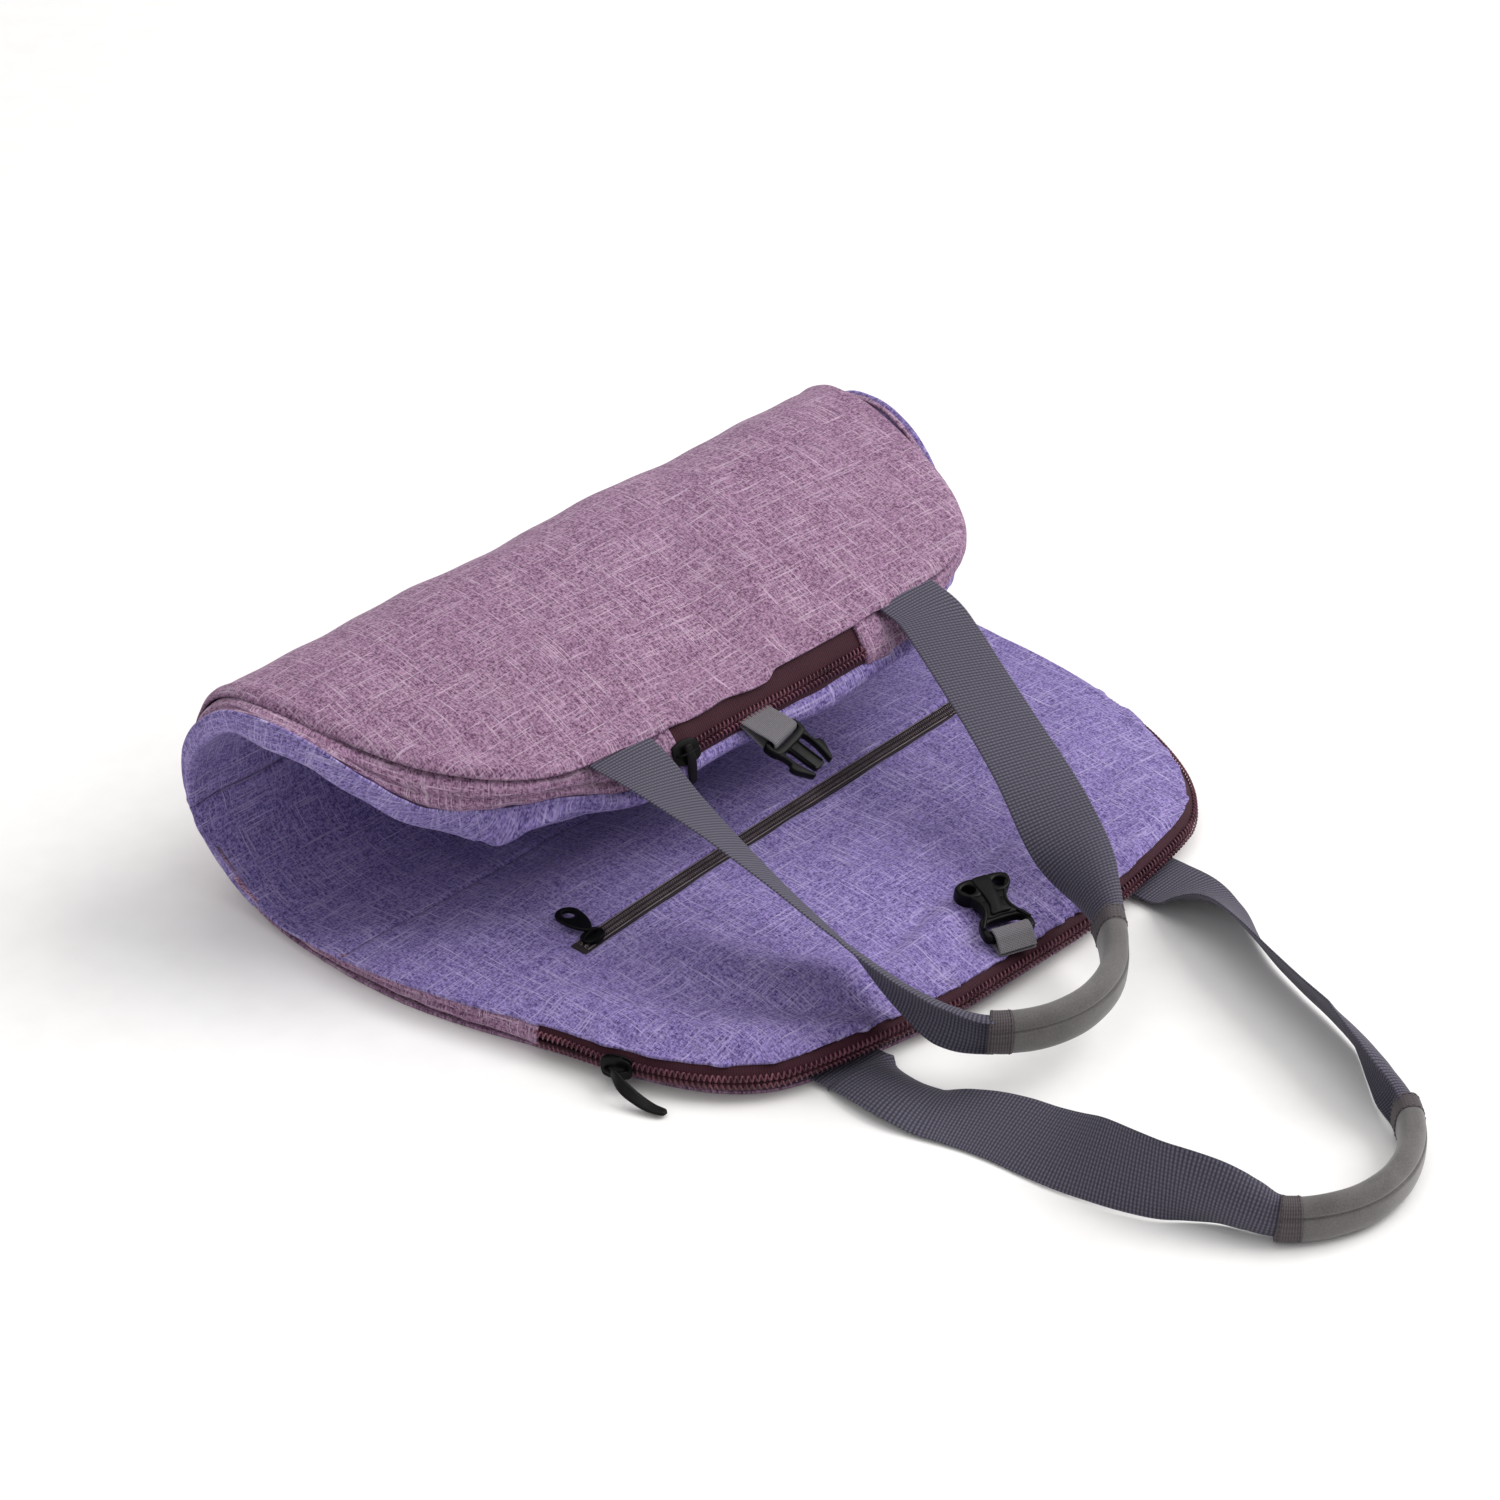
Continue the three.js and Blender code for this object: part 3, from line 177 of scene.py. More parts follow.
# dull tapes, painted almost black between their ribs as painted shade, and smooth coils that glint along each
# turn
burgundyTape = wovenStrap("burgundyZipTape", "#260A14", "#431526", 1.3, 1.0, 0.2)
# the coil's tones are set far paler than the tape's as a painted highlight on its turns, beside the real
# gloss
burgundyCoil = grainFinish("burgundyNylonCoil", "#3C1926", "#7A4A59", 0.8, 0.05, 0.3)
pocketTape = wovenStrap("umberZipTape", "#1A1416", "#30272A", 1.3, 1.0, 0.2)
pocketCoil = grainFinish("umberNylonCoil", "#453B3F", "#75686D", 0.8, 0.05, 0.36)
# dry blue-grey webbing with clear ribs, a finer warm binding and a pale knitted elastic
greyWebbing = wovenStrap("slateRibbedWebbing", "#292630", "#625E6F", 1.9, 2.0, 0.4)
bandCloth = wovenStrap("greigeEndBinding", "#3C3639", "#5E565A", 1.2, 1.2, 0.2)
greyElastic = wovenStrap("paleKnittedElastic", "#4F4C51", "#7B787D", 0.8, 1.0, 0.3)
# a fuzzy cover that takes the light evenly, then rubber and plastic, almost black with a soft shine
gripCover = grainFinish("greyBrushedNeoprene", "#4E4B4A", "#656261", 0.9, 0.12, 0.82, sheen=0.4)
softPull = grainFinish("blackSoftRubber", "#0B0A0A", "#161414", 1.2, 0.06, 0.45, gloss=0.12)
blackPlastic = grainFinish("blackMouldedAcetal", "#070707", "#100F0F", 0.7, 0.04, 0.3, gloss=0.1)
darkThread = grainFinish("charcoalSewingThread", "#2B2A2E", "#48464B", 0.4, 0.04, 0.8)
print("materials made:", len(bpy.data.materials))

# pale studio floor, the eye sees an even warm white with the faintest mottling; half side and lift in metres
floorSet = {"half": 7.0, "below": 0.0004, "dark": "#F6F5F4", "pale": "#FAF9F8", "mottle": 400}
floorCorners = np.array([(-1, -1, 0), (1, -1, 0), (1, 1, 0), (-1, 1, 0)]) * floorSet["half"]
floorMesh = bpy.data.meshes.new("studioFloor")
floorMesh.from_pydata(floorCorners.tolist(), [], [(0, 1, 2, 3)])
paper = grainFinish("mattPaperSweep", floorSet["dark"], floorSet["pale"], floorSet["mottle"], 0.01, 0.9)
floorMesh.materials.append(paper)
floor = bpy.data.objects.new("studioFloor", floorMesh)
floor.location.z = -floorSet["below"]
scene.collection.objects.link(floor)

# soft light from the picture's right, places in metres
worldSet = {"Color": linear("#FFFFFF"), "Strength": 0.5}
world = bpy.data.worlds.new("studioWorld")
world.use_nodes = True
feed(world.node_tree, world.node_tree.nodes["Background"].inputs, worldSet)
scene.world = world
lampSet = [
    {"name": "overheadPanel", "place": (0.3, 0.1, 2.6), "aim": (0, 0, 0), "size": 2.6, "power": 22},
    {"name": "rightPanel", "place": (2.2, -1.5, 2.5), "aim": (0, 0, 0.05), "size": 2.6, "power": 102},
    {"name": "leftFill", "place": (-2.2, -0.4, 2.0), "aim": (0, 0, 0.05), "size": 1.8, "power": 8},
]
for lamp in lampSet:
    lampData = bpy.data.lights.new(lamp["name"], "AREA")
    lampData.size = lamp["size"]
    lampData.energy = lamp["power"]
    lampData.color = linear("#FFFEFD")[:3]
    lampObject = bpy.data.objects.new(lamp["name"], lampData)
    lampObject.location = lamp["place"]
    lampWay = Vector(lamp["aim"]) - Vector(lamp["place"])
    lampObject.rotation_euler = lampWay.to_track_quat("-Z", "Y").to_euler()
    scene.collection.objects.link(lampObject)
print("camera, floor and light set")


# small tools
def smooth(value, low, high):
    share = np.clip((value - low) / (high - low), 0, 1)
    return share * share * (3 - 2 * share)


def unit(way):
    return way / np.maximum(np.linalg.norm(way, axis=-1, keepdims=True), 1e-9)


# bell curve, one at zero and almost nothing at twice its width
def bell(value, wide):
    return np.exp(-(value / wide) ** 2)


# power that keeps the sign, which turns a circle's sine and cosine into a blunt oval
def blunt(value, power):
    return np.sign(value) * np.abs(value) ** power


def circle(count):
    return np.linspace(0, 2 * math.pi, count, endpoint=False)


def runLength(points):
    return np.concatenate([[0], np.cumsum(np.linalg.norm(np.diff(points, axis=0), axis=1))])


# bar or wire: an oval section carried along a path, set square to a guide
def barRings(path, wide, thick, guide, sides=10):
    way = unit(np.gradient(path, axis=0))
    across = unit(np.cross(way, guide))
    high = np.cross(across, way)
    ring = across[:, None] * (np.cos(circle(sides)) * wide / 2)[None, :, None]
    ring = ring + high[:, None] * (np.sin(circle(sides)) * thick / 2)[None, :, None]
    return path[:, None] + ring


# centripetal Catmull-Rom curve through the points, dense, with its arc length and row number
def curveThrough(points, perSpan=60):
    p = np.asarray(points, float)
    full = np.vstack([2 * p[0] - p[1], p, 2 * p[-1] - p[-2]])
    gap = np.maximum(np.linalg.norm(np.diff(full, axis=0), axis=1) ** 0.5, 1e-4)[:, None]
    p0, p1, p2, p3 = full[:-3], full[1:-2], full[2:-1], full[3:]
    d0, d1, d2 = gap[:-2], gap[1:-1], gap[2:]
    m1 = ((p1 - p0) / d0 - (p2 - p0) / (d0 + d1) + (p2 - p1) / d1) * d1
    m2 = ((p2 - p1) / d1 - (p3 - p1) / (d1 + d2) + (p3 - p2) / d2) * d1
    t = np.linspace(0, 1, perSpan, endpoint=False)[None, :, None]
    a, b, c, d = p1[:, None], m1[:, None], p2[:, None], m2[:, None]
    line = a + b * t + (3 * (c - a) - 2 * b - d) * t ** 2 + (2 * (a - c) + b + d) * t ** 3
    line = np.vstack([line.reshape(-1, p.shape[1]), p[-1]])
    length = runLength(line)
    row = np.append(np.arange(len(p) - 1)[:, None] + t[0, :, 0], len(p) - 1)
    return {"line": line, "length": length, "reach": length[-1], "row": row.ravel(),
            "along": unit(np.gradient(line, length, axis=0))}


def onCurve(curve, distance, key="line"):
    where = np.clip(distance, 0, curve["reach"])
    return np.stack([np.interp(where, curve["length"], column) for column in curve[key].T], -1)


def rowOn(curve, distance):
    return np.interp(np.clip(distance, 0, curve["reach"]), curve["length"], curve["row"])


# slow seeded waves, a sum of sines of near sizes in all directions
def ripple(u, v, size, seed, count=9):
    dice = np.random.default_rng(seed)
    total = np.zeros(np.broadcast(u, v).shape)
    for _ in range(count):
        turn, phase = dice.uniform(0, 2 * math.pi, 2)
        pitch = size * dice.uniform(0.7, 1.6)
        total += np.sin((u * math.cos(turn) + v * math.sin(turn)) * 2 * math.pi / pitch + phase)
    return total / math.sqrt(count)


# ridge or groove along a line on the cloth, high at the line and fading over its width and at its ends
def crease(u, v, start, end, wide, high):
    a, b = np.array(start, float), np.array(end, float)
    way, reach = unit(b - a), np.linalg.norm(b - a)
    along = (u - a[0]) * way[0] + (v - a[1]) * way[1]
    off = (v - a[1]) * way[0] - (u - a[0]) * way[1]
    share = np.clip(along / reach, 0, 1)
    beyond = np.maximum(np.maximum(-along, along - reach), 0)
    height = high * (0.25 + 0.75 * np.sin(math.pi * share) ** 0.7)
    return height * np.exp(-(off / wide) ** 2 - (beyond / wide) ** 2)


# sum of creases, each row a start, an end, a width and a height
def creases(u, v, table):
    return sum(crease(u, v, *row) for row in table)


# share of the half width at even steps, crowded towards both sides by a cubic
def shareAcross(columns, crowd):
    t = np.linspace(-1, 1, columns)
    return t * (1 + crowd - crowd * t * t)


def gridFaces(rows, cols, wrapRows=False, wrapCols=False, start=0):
    r, c = np.meshgrid(np.arange(rows - (not wrapRows)), np.arange(cols - (not wrapCols)), indexing="ij")
    r2, c2 = (r + 1) % rows, (c + 1) % cols
    return np.stack([r * cols + c, r2 * cols + c, r2 * cols + c2, r * cols + c2], -1).reshape(-1, 4) + start


# true where a closed surface's faces look inward, from the sign of the volume inside them
def looksInward(points, quads):
    a, b, c, d = ((points - points.mean(0))[quads[:, i]] for i in range(4))
    return np.sum(a * np.cross(b, c)) + np.sum(a * np.cross(c, d)) < 0


# gathers surfaces into one mesh; each is points, faces of four and end caps, with u and v in millimetres
class Shape:
    def __init__(self):
        self.points, self.places, self.quads, self.caps, self.count = [], [], [], [], 0

    def grid(self, points, place=None, wrapRows=False, wrapCols=False, flip=False):
        rows, cols = points.shape[:2]
        faces = gridFaces(rows, cols, wrapRows, wrapCols, self.count)
        ends = []
        if wrapCols:
            flip = looksInward(points.reshape(-1, 3), faces - self.count)
        if wrapCols and not wrapRows:
            first, last = self.count, self.count + (rows - 1) * cols
            ends = [first + np.arange(cols), last + np.arange(cols)[::-1]]
        self.quads.append(faces[:, ::-1] if flip else faces)
        self.caps += [end[::-1] if flip else end for end in ends]
        self.points.append(points.reshape(-1, 3))
        self.places.append(points[..., :2].reshape(-1, 2) if place is None else place.reshape(-1, 2))
        self.count += rows * cols
        return self

    def make(self, name, material, slot, nodes=(), thick=0.0, smoothed=True):
        points = np.vstack(self.points)
        quads = np.vstack(self.quads)
        loops = np.concatenate([quads.ravel(), *self.caps])
        sizes = np.concatenate([np.full(len(quads), 4), [len(cap) for cap in self.caps]]).astype(int)
        starts = np.concatenate([[0], np.cumsum(sizes)[:-1]])
        mesh = bpy.data.meshes.new(name)
        mesh.vertices.add(len(points))
        mesh.vertices.foreach_set("co", (points / 1000).astype(np.float32).ravel())
        mesh.loops.add(len(loops))
        mesh.loops.foreach_set("vertex_index", loops.astype(np.int32))
        mesh.polygons.add(len(sizes))
        mesh.polygons.foreach_set("loop_start", starts.astype(np.int32))
        mesh.update(calc_edges=True)
        layer = mesh.uv_layers.new(name="cloth")
        layer.data.foreach_set("uv", np.vstack(self.places)[loops].astype(np.float32).ravel())
        mesh.polygons.foreach_set("use_smooth", np.full(len(sizes), smoothed))
        mesh.materials.append(material)
        made = bpy.data.objects.new(name, mesh)
        scene.collection.objects.link(made)
        if thick:
            wall = made.modifiers.new("wall", "SOLIDIFY")
            wall.thickness = thick / 1000
            wall.offset = -1
        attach(made, "root")
        if nodes:
            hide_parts(*nodes)
        return made


# the bag's section and outline
clothThick = 1.6
seamBack = 243.0  # seam of the linings beside the tunnel, back from a front edge
rightSpread = 0.3  # the lining spreads less on the right than on the left

# outer face of the mauve panel, y and z, from the lower front edge to the upper one
outerRows = [(-139, 0.8), (-130, 0.2), (-120, 0), (-60, 0), (0, 0), (60, 0), (120, 0), (150, 0.6), (172, 4.5),
             (192, 14.5), (209, 32), (219.5, 55), (222, 77), (217, 100), (206, 118), (189, 129), (170, 132.6),
             (150, 132.6), (120, 127.4), (90, 121), (60, 114.2), (34, 107)]
# seen face of the lining, y and z, then how far its sides spread and how far its side seam is raised
liningRows = [(-137, 19, 0, 0), (-120, 19, 0, 0), (-60, 18.5, 1, 0), (0, 17.5, 2, 0), (60, 16, 3, 0),
              (100, 13.8, 4, 0), (130, 11, 4, 0), (150, 9.5, 4, 0), (172, 14, 4, 0), (190, 25.5, 5, 0),
              (202, 43, 7, 1), (207, 66, 10, 3), (202.5, 88, 13, 5), (190, 107, 14, 6), (172, 119, 13, 7.5),
              (150, 123.2, 12, 8), (132, 120.5, 10, 8), (117, 113, 8, 8), (104, 102, 4, 9), (92, 91.5, 3, 11),
              (79, 83, 2, 13), (64, 79, 1, 13.5), (53, 80.5, 0, 11.5), (46, 85.5, 0, 6), (41, 90, 0, 1),
              (36, 91, 0, 0)]
spreadColumn, raisedColumn = 2, 3
# outline of each half: distance back from its front edge, half width, sideways lean
outlineRows = {
    "lower": [(0, 45, 0), (2, 62, 0), (5.5, 84, 0), (11, 115, 0), (17.5, 142, 0), (24, 155, 0), (34, 167, 0),
              (47, 177.5, 0), (62, 186, 0), (85, 195.5, 0), (112, 203, 0), (140, 210, -1.6), (170, 216, -5),
              (205, 220.5, -8.8), (245, 223, -10)],
    "upper": [(0, 45, 0), (1.2, 75, 0), (2.6, 105, 0), (5, 131, 0), (9.5, 148, -0.5), (16.5, 161, -1.5),
              (25, 172, -2.8), (36, 181.5, -4.8), (48, 189.5, -7), (64, 197, -9), (88, 205, -11.5),
              (114, 211.5, -13.5), (142, 215.5, -14), (175, 218, -11.5), (210, 219.5, -10),
              (245, 220.5, -10)],
}
foldRow = (221.5, -10)

outerCurve = curveThrough(outerRows)
liningCurve = curveThrough([row[:2] for row in liningRows])
outerReach, liningReach = outerCurve["reach"], liningCurve["reach"]
outlines = {}
for half, table in outlineRows.items():
    full = np.array(table + [(outerReach / 2, *foldRow)], float)
    outlines[half] = {"line": curveThrough(full[:, [1, 0]]), "back": full[:, 0], "lean": full[:, 2]}
# distance along the panel and the distance along the lining that faces it
facingRows = [(0, 0), (270, 268), (outerReach - 118, liningReach - 120), (outerReach, liningReach)]


# rows of an outline at distances along it: how far back, half width, and the way out of the outline
def outlineAt(half, step):
    line = outlines[half]["line"]
    spot, along = onCurve(line, step), onCurve(line, step, "along")
    return {"half": half, "back": spot[:, 1], "wide": spot[:, 0], "nx": along[:, 1], "nd": along[:, 0]}


def stepAtBack(half, back):
    line = outlines[half]["line"]
    return np.interp(back, line["line"][:, 1], line["length"])


def leanAt(half, back):
    return np.interp(back, outlines[half]["back"], outlines[half]["lean"])


def wideAt(half, back):
    line = outlines[half]["line"]["line"]
    return np.interp(back, line[:, 1], line[:, 0])


def panelDistance(half, back):
    return back if half == "lower" else outerReach - back


def liningDistance(distance):
    return np.interp(distance, *zip(*facingRows))


# point of a section at a distance along it and at x, moved out square to it, straight on past its ends
def sectionPoint(curve, distance, x, outward):
    spot, along = onCurve(curve, distance), onCurve(curve, distance, "along")
    spot = spot + along * (distance - np.clip(distance, 0, curve["reach"]))[..., None]
    y = spot[..., 0] + along[..., 1] * outward
    z = np.maximum(spot[..., 1], 0) - along[..., 0] * outward
    return np.stack(np.broadcast_arrays(x, y, z), -1)


def liningColumn(column, distance):
    values = [row[column] for row in liningRows]
    return np.interp(rowOn(liningCurve, distance), np.arange(len(values)), values)


def flareAt(distance, side):
    return liningColumn(spreadColumn, distance) * np.where(side < 0, 1.0, rightSpread)


# flat cut of a part of one half between two distances back: width, length and area in metres
def cutSize(half, low, high):
    back = np.linspace(low, high, 200)
    wide = 2 * wideAt(half, back)
    area = np.sum((wide[1:] + wide[:-1]) / 2 * np.diff(back))
    return np.array([wide.max() / 1000, (high - low) / 1000, area / 1e6])


def declareSheet(piece, cut):
    size = np.round(np.asarray(cut[:2]) * 1000).tolist()
    print("sheet:", piece.name, "cut", size, "mm, area", round(float(cut[2]), 4))


print("section reach:", round(outerReach), round(liningReach))

# mauve outer panel
# point at (distance along the section, share of the half width): the section's outer face, and on the upper
# half moved out by a puff, slow ripples, folds, a raised welt beside the rim and a tuck down at the rim
panelSet = {"step": 3.2, "columns": 97, "crowd": 0.3, "puff": 7.0, "puffBacks": (70, 130, 185), "tuck": 2.0,
            "tuckWide": 2.4, "welt": 1.2, "weltAt": 6, "weltWide": 4, "ripple": 0.9, "fine": 0.45,
            "wave": 1.1, "hidden": 2.4}
# start and end as x and distance back from the upper front edge, width, height
panelCreases = [
    ((-38, 2), (34, 128), 13, -2.8),
    ((6, 2), (76, 128), 14, 3.2),
    ((-205, 120), (-150, 36), 12, 2.2),
    ((-60, 6), (-30, 60), 14, -1.4),
    ((70, 2), (60, 40), 9, -2.2),
    ((-190, 110), (-120, 26), 13, 1.6),
    ((18, 0), (22, 26), 6, -1.5),
    ((-150, 40), (-60, 95), 18, 1.4),
    ((60, 60), (150, 120), 22, 1.5),
    ((-20, 80), (110, 70), 20, -1.4),
    ((-190, 90), (-120, 60), 12, -1.2),
]


# how far the panel's front edge hangs over the upper zip: a drooping fold left of the middle and a small one
def edgeOverhang(x):
    return 3.6 * smooth(x, -40, -12) * (1 - smooth(x, -8, 3)) + 1.2 * bell(x + 52, 18)


def upperPanelHeight(x, back, v, edge):
    overZip = (1 - smooth(np.abs(x), 66, 84)) * (1 - smooth(back, 4, 12))  # the tuck is slack above the zip
    height = -panelSet["tuck"] * (1 - 0.8 * overZip) * bell(edge, panelSet["tuckWide"])
    height = height + panelSet["welt"] * bell(edge - panelSet["weltAt"], panelSet["weltWide"])
    full, level, flat = panelSet["puffBacks"]
    puff = smooth(back, 0, full) * (1 - smooth(back, level, flat)) * (1 - v ** 4)
    height = height + panelSet["puff"] * puff
    calm = smooth(edge, 0, 25)
    height = height + panelSet["ripple"] * ripple(x, back, 120, 4) * calm
    height = height + panelSet["fine"] * ripple(x, back, 45, 5) * calm
    height = height + panelSet["wave"] * ripple(x, 0 * back, 42, 8, 5) * bell(back, 16) * smooth(back, 0, 3)
    height = height + creases(x, back, panelCreases) * smooth(edge, 0, 6)
    return height - 0.35 * edgeOverhang(x) * bell(back, 7)


def outerPanel():
    v = shareAcross(panelSet["columns"], panelSet["crowd"])
    faces, places = [], []
    for half in ("lower", "upper"):
        line = outlines[half]["line"]
        rows = outlineAt(half, np.linspace(0, line["reach"], int(line["reach"] / panelSet["step"])))
        back, wide = rows["back"][:, None], rows["wide"][:, None]
        x = leanAt(half, back) + v * wide
        distance = np.broadcast_to(panelDistance(half, back), x.shape)
        if half == "lower":  # flat on the floor, drawn in a little so that the strip beside it shows
            hidden = panelSet["hidden"] * (1 - smooth(back, 100, 200))
            x = x - hidden * v
            distance = distance + hidden * (1 - smooth(back, 0, 40))
            out = np.zeros(x.shape)
        else:
            toSide = (1 - np.abs(v)) * wide
            frontEdge = np.interp(np.abs(v) * wide, *line["line"].T)
            edge = np.minimum(toSide * rows["nx"][:, None], (back - frontEdge) * 0.9 + 0.02 * toSide)
            out = upperPanelHeight(x, back, v, edge)
            distance = distance + edgeOverhang(x) * np.exp(-back / 14)
        points = sectionPoint(outerCurve, distance, x, out)
        place = np.stack(np.broadcast_arrays(x, distance), -1)
        order = slice(None) if half == "lower" else slice(-2, None, -1)  # the fold's row comes once
        faces.append(points[order])
        places.append(place[order])
    return Shape().grid(np.vstack(faces), np.vstack(places))


panel = outerPanel().make("outer_panel_cloth", mauveCloth, "mauve_cloth", ["outer_panel"], clothThick)
lowerCut, upperCut = (cutSize(half, 0, outerReach / 2) for half in ("lower", "upper"))
panelCut = (max(lowerCut[0], upperCut[0]), outerReach / 1000, lowerCut[2] + upperCut[2])
declareSheet(panel, panelCut)
print("outer panel:", len(panel.data.polygons), "faces")

# lavender lining
# point at (distance, share across): the section's seen face, raised by plumpness in the middle, lowered to a
# rolled side seam on the upper half, pinched at the near corner, then moved by ripples and creases
liningSet = {"crowd": 0.38, "plump": 9.0, "roll": 6.0, "ripple": 0.7, "pucker": 1.7, "scallop": 2.0,
             "seam": 0.9, "seamWelt": 0.4}
tipSet = {"x": -165, "back": 35, "drop": 8, "wideX": 14, "wideBack": 12}
sagSet = {"drop": 5, "from": 2, "full": 9, "ease": 28, "to": 80}
# x and y of start and end on the lower half, width, height
lowerCreases = [
    ((-197, 8), (-174, -68), 11, 3.8),
    ((-174, -68), (-134, -114), 11, 3.8),
    ((-152, -16), (-133, -82), 13, -4.0),
    ((-133, -82), (-92, -120), 9, -4.4),
    ((-120, -20), (-110, -66), 12, 3.0),
    ((-110, -66), (-72, -106), 10, 3.6),
    ((-68, -102), (-5, -87), 5, -2.4),
    ((-5, -87), (64, -74), 5, -2.4),
    ((-64, -113), (64, -86), 7, 2.6),
    ((-8, -54), (64, -47), 5, 1.2),
    ((95, -115), (160, -50), 12, -1.8),
    ((130, -60), (182, -10), 16, 2.0),
    ((-90, -60), (40, -30), 24, 1.8),
    ((120, 30), (190, 60), 18, 1.5),
    ((-170, 60), (-60, 80), 16, 1.3),
    ((-190, 85), (-120, 40), 10, -1.3),
]
# x and distance back from the upper front edge
upperCreases = [
    ((-160, 18), (-120, 60), 4, -2.4),
    ((-150, 12), (-90, 34), 4, 2.0),
    ((-178, 30), (-150, 46), 3, -3.6),
    ((-168, 31), (-138, 18), 4, 2.4),
    ((-164, 25), (-150, 80), 4, -2.0),
    ((-215, 150), (-190, 90), 6, 2.0),
    ((-222, 175), (-216, 140), 3.5, -3.0),
]


# between the straps the slack end of the upper lining rolls forward under the zip: the same section with
# another end, plumper beside the plug
rollRows = [(66, 78.2), (54, 76), (42, 75), (33, 75.6), (26.6, 78.4), (24, 82.6), (25.6, 86.2), (30, 87.6)]
rollSet = {"keptRows": 21, "from": 47.0, "fade": (92, 150), "plumpMove": (0, -3.5, -5.5)}
rollCurve = curveThrough([row[:2] for row in liningRows[:rollSet["keptRows"]]] + rollRows)
rollSpare = rollCurve["reach"] - (liningReach - rollSet["from"]) - rollSet["from"]


def upperSection(distance, x, outward):
    fromFront = liningReach - distance
    rolledAt = rollCurve["reach"] - fromFront - rollSpare * np.minimum(fromFront / rollSet["from"], 1)
    plain = sectionPoint(liningCurve, distance, x, outward)
    rolled = sectionPoint(rollCurve, rolledAt, x, outward)
    plump = bell(x - 26, 38) * bell(fromFront - 13, 9)
    rolled = rolled + plump[..., None] * np.array(rollSet["plumpMove"])
    return plain + (rolled - plain) * (1 - smooth(np.abs(x), *rollSet["fade"]))[..., None]


pocketSet = {"fromX": -160.0, "toX": 140.0, "fromY": 13.1, "rise": 0.052, "wide": 10.6, "thick": 0.8,
             "sink": 1.3, "bed": (4.6, 6.6), "lip": 0.9, "lipAt": 8.2, "lipWide": 2.2, "coil": 1.7,
             "pitch": 1.4, "wire": 0.4, "thread": 4.1, "sliderAt": 11.0}


def pocketLine(x):
    return pocketSet["fromY"] + pocketSet["rise"] * (x - pocketSet["fromX"])


# sunken bed of the pocket zip between two turned lips
def pocketBed(x, y):
    off = np.abs(y - pocketLine(x))
    inside = smooth(x, pocketSet["fromX"] - 3, pocketSet["fromX"] + 3)
    inside = inside * (1 - smooth(x, pocketSet["toX"] - 3, pocketSet["toX"] + 3))
    bed = -pocketSet["sink"] * (1 - smooth(off, *pocketSet["bed"]))
    return (bed + pocketSet["lip"] * bell(off - pocketSet["lipAt"], pocketSet["lipWide"])) * inside


def liningStand(distance, x, fromSeam, share):
    fromFront = liningReach - distance
    plump = (1 - share ** 4) * smooth(distance, -6, 36) * (1 - smooth(distance, 190, 250))
    roll = liningColumn(raisedColumn, distance) * np.exp(-(np.maximum(fromSeam, 0) / liningSet["roll"]) ** 3)
    tip = bell(x - tipSet["x"], tipSet["wideX"]) * bell(fromFront - tipSet["back"], tipSet["wideBack"])
    tip = tipSet["drop"] * tip * smooth(fromSeam, 2, 8)
    near = smooth(fromFront, 0, 14) * (1 - smooth(fromFront, 110, 170)) * (x < 0)
    sag = smooth(fromSeam, sagSet["from"], sagSet["full"]) * near
    sag = sag * (1 - smooth(fromSeam, sagSet["ease"], sagSet["to"]))
    return liningSet["plump"] * plump - roll + tip + sagSet["drop"] * sag


# slack cloth pushed out and down along the left side of the upper half, a bell across the edge
def sideRoll(x, fromSeam, fromFront, v):
    held = smooth(fromFront, 34, 70) * (1 - smooth(fromFront, 235, 290)) * (v < 0)
    out = 8.5 * bell(fromSeam - 6.5, 4.5) * held * (1 + 0.14 * ripple(x, fromFront, 40, 17, 6))
    return np.stack(np.broadcast_arrays(-out, 0 * out, -0.25 * out), -1)


# mean over neighbouring rows, so that the weave doesn't swirl where the cloth's length changes between rows
def evenRows(values, reach=15):
    weight = np.hanning(2 * reach + 3)[1:-1]
    wider = np.pad(values, ((reach, reach), (0, 0)), mode="edge")
    return np.stack([np.convolve(column, weight / weight.sum(), "valid") for column in wider.T], -1)


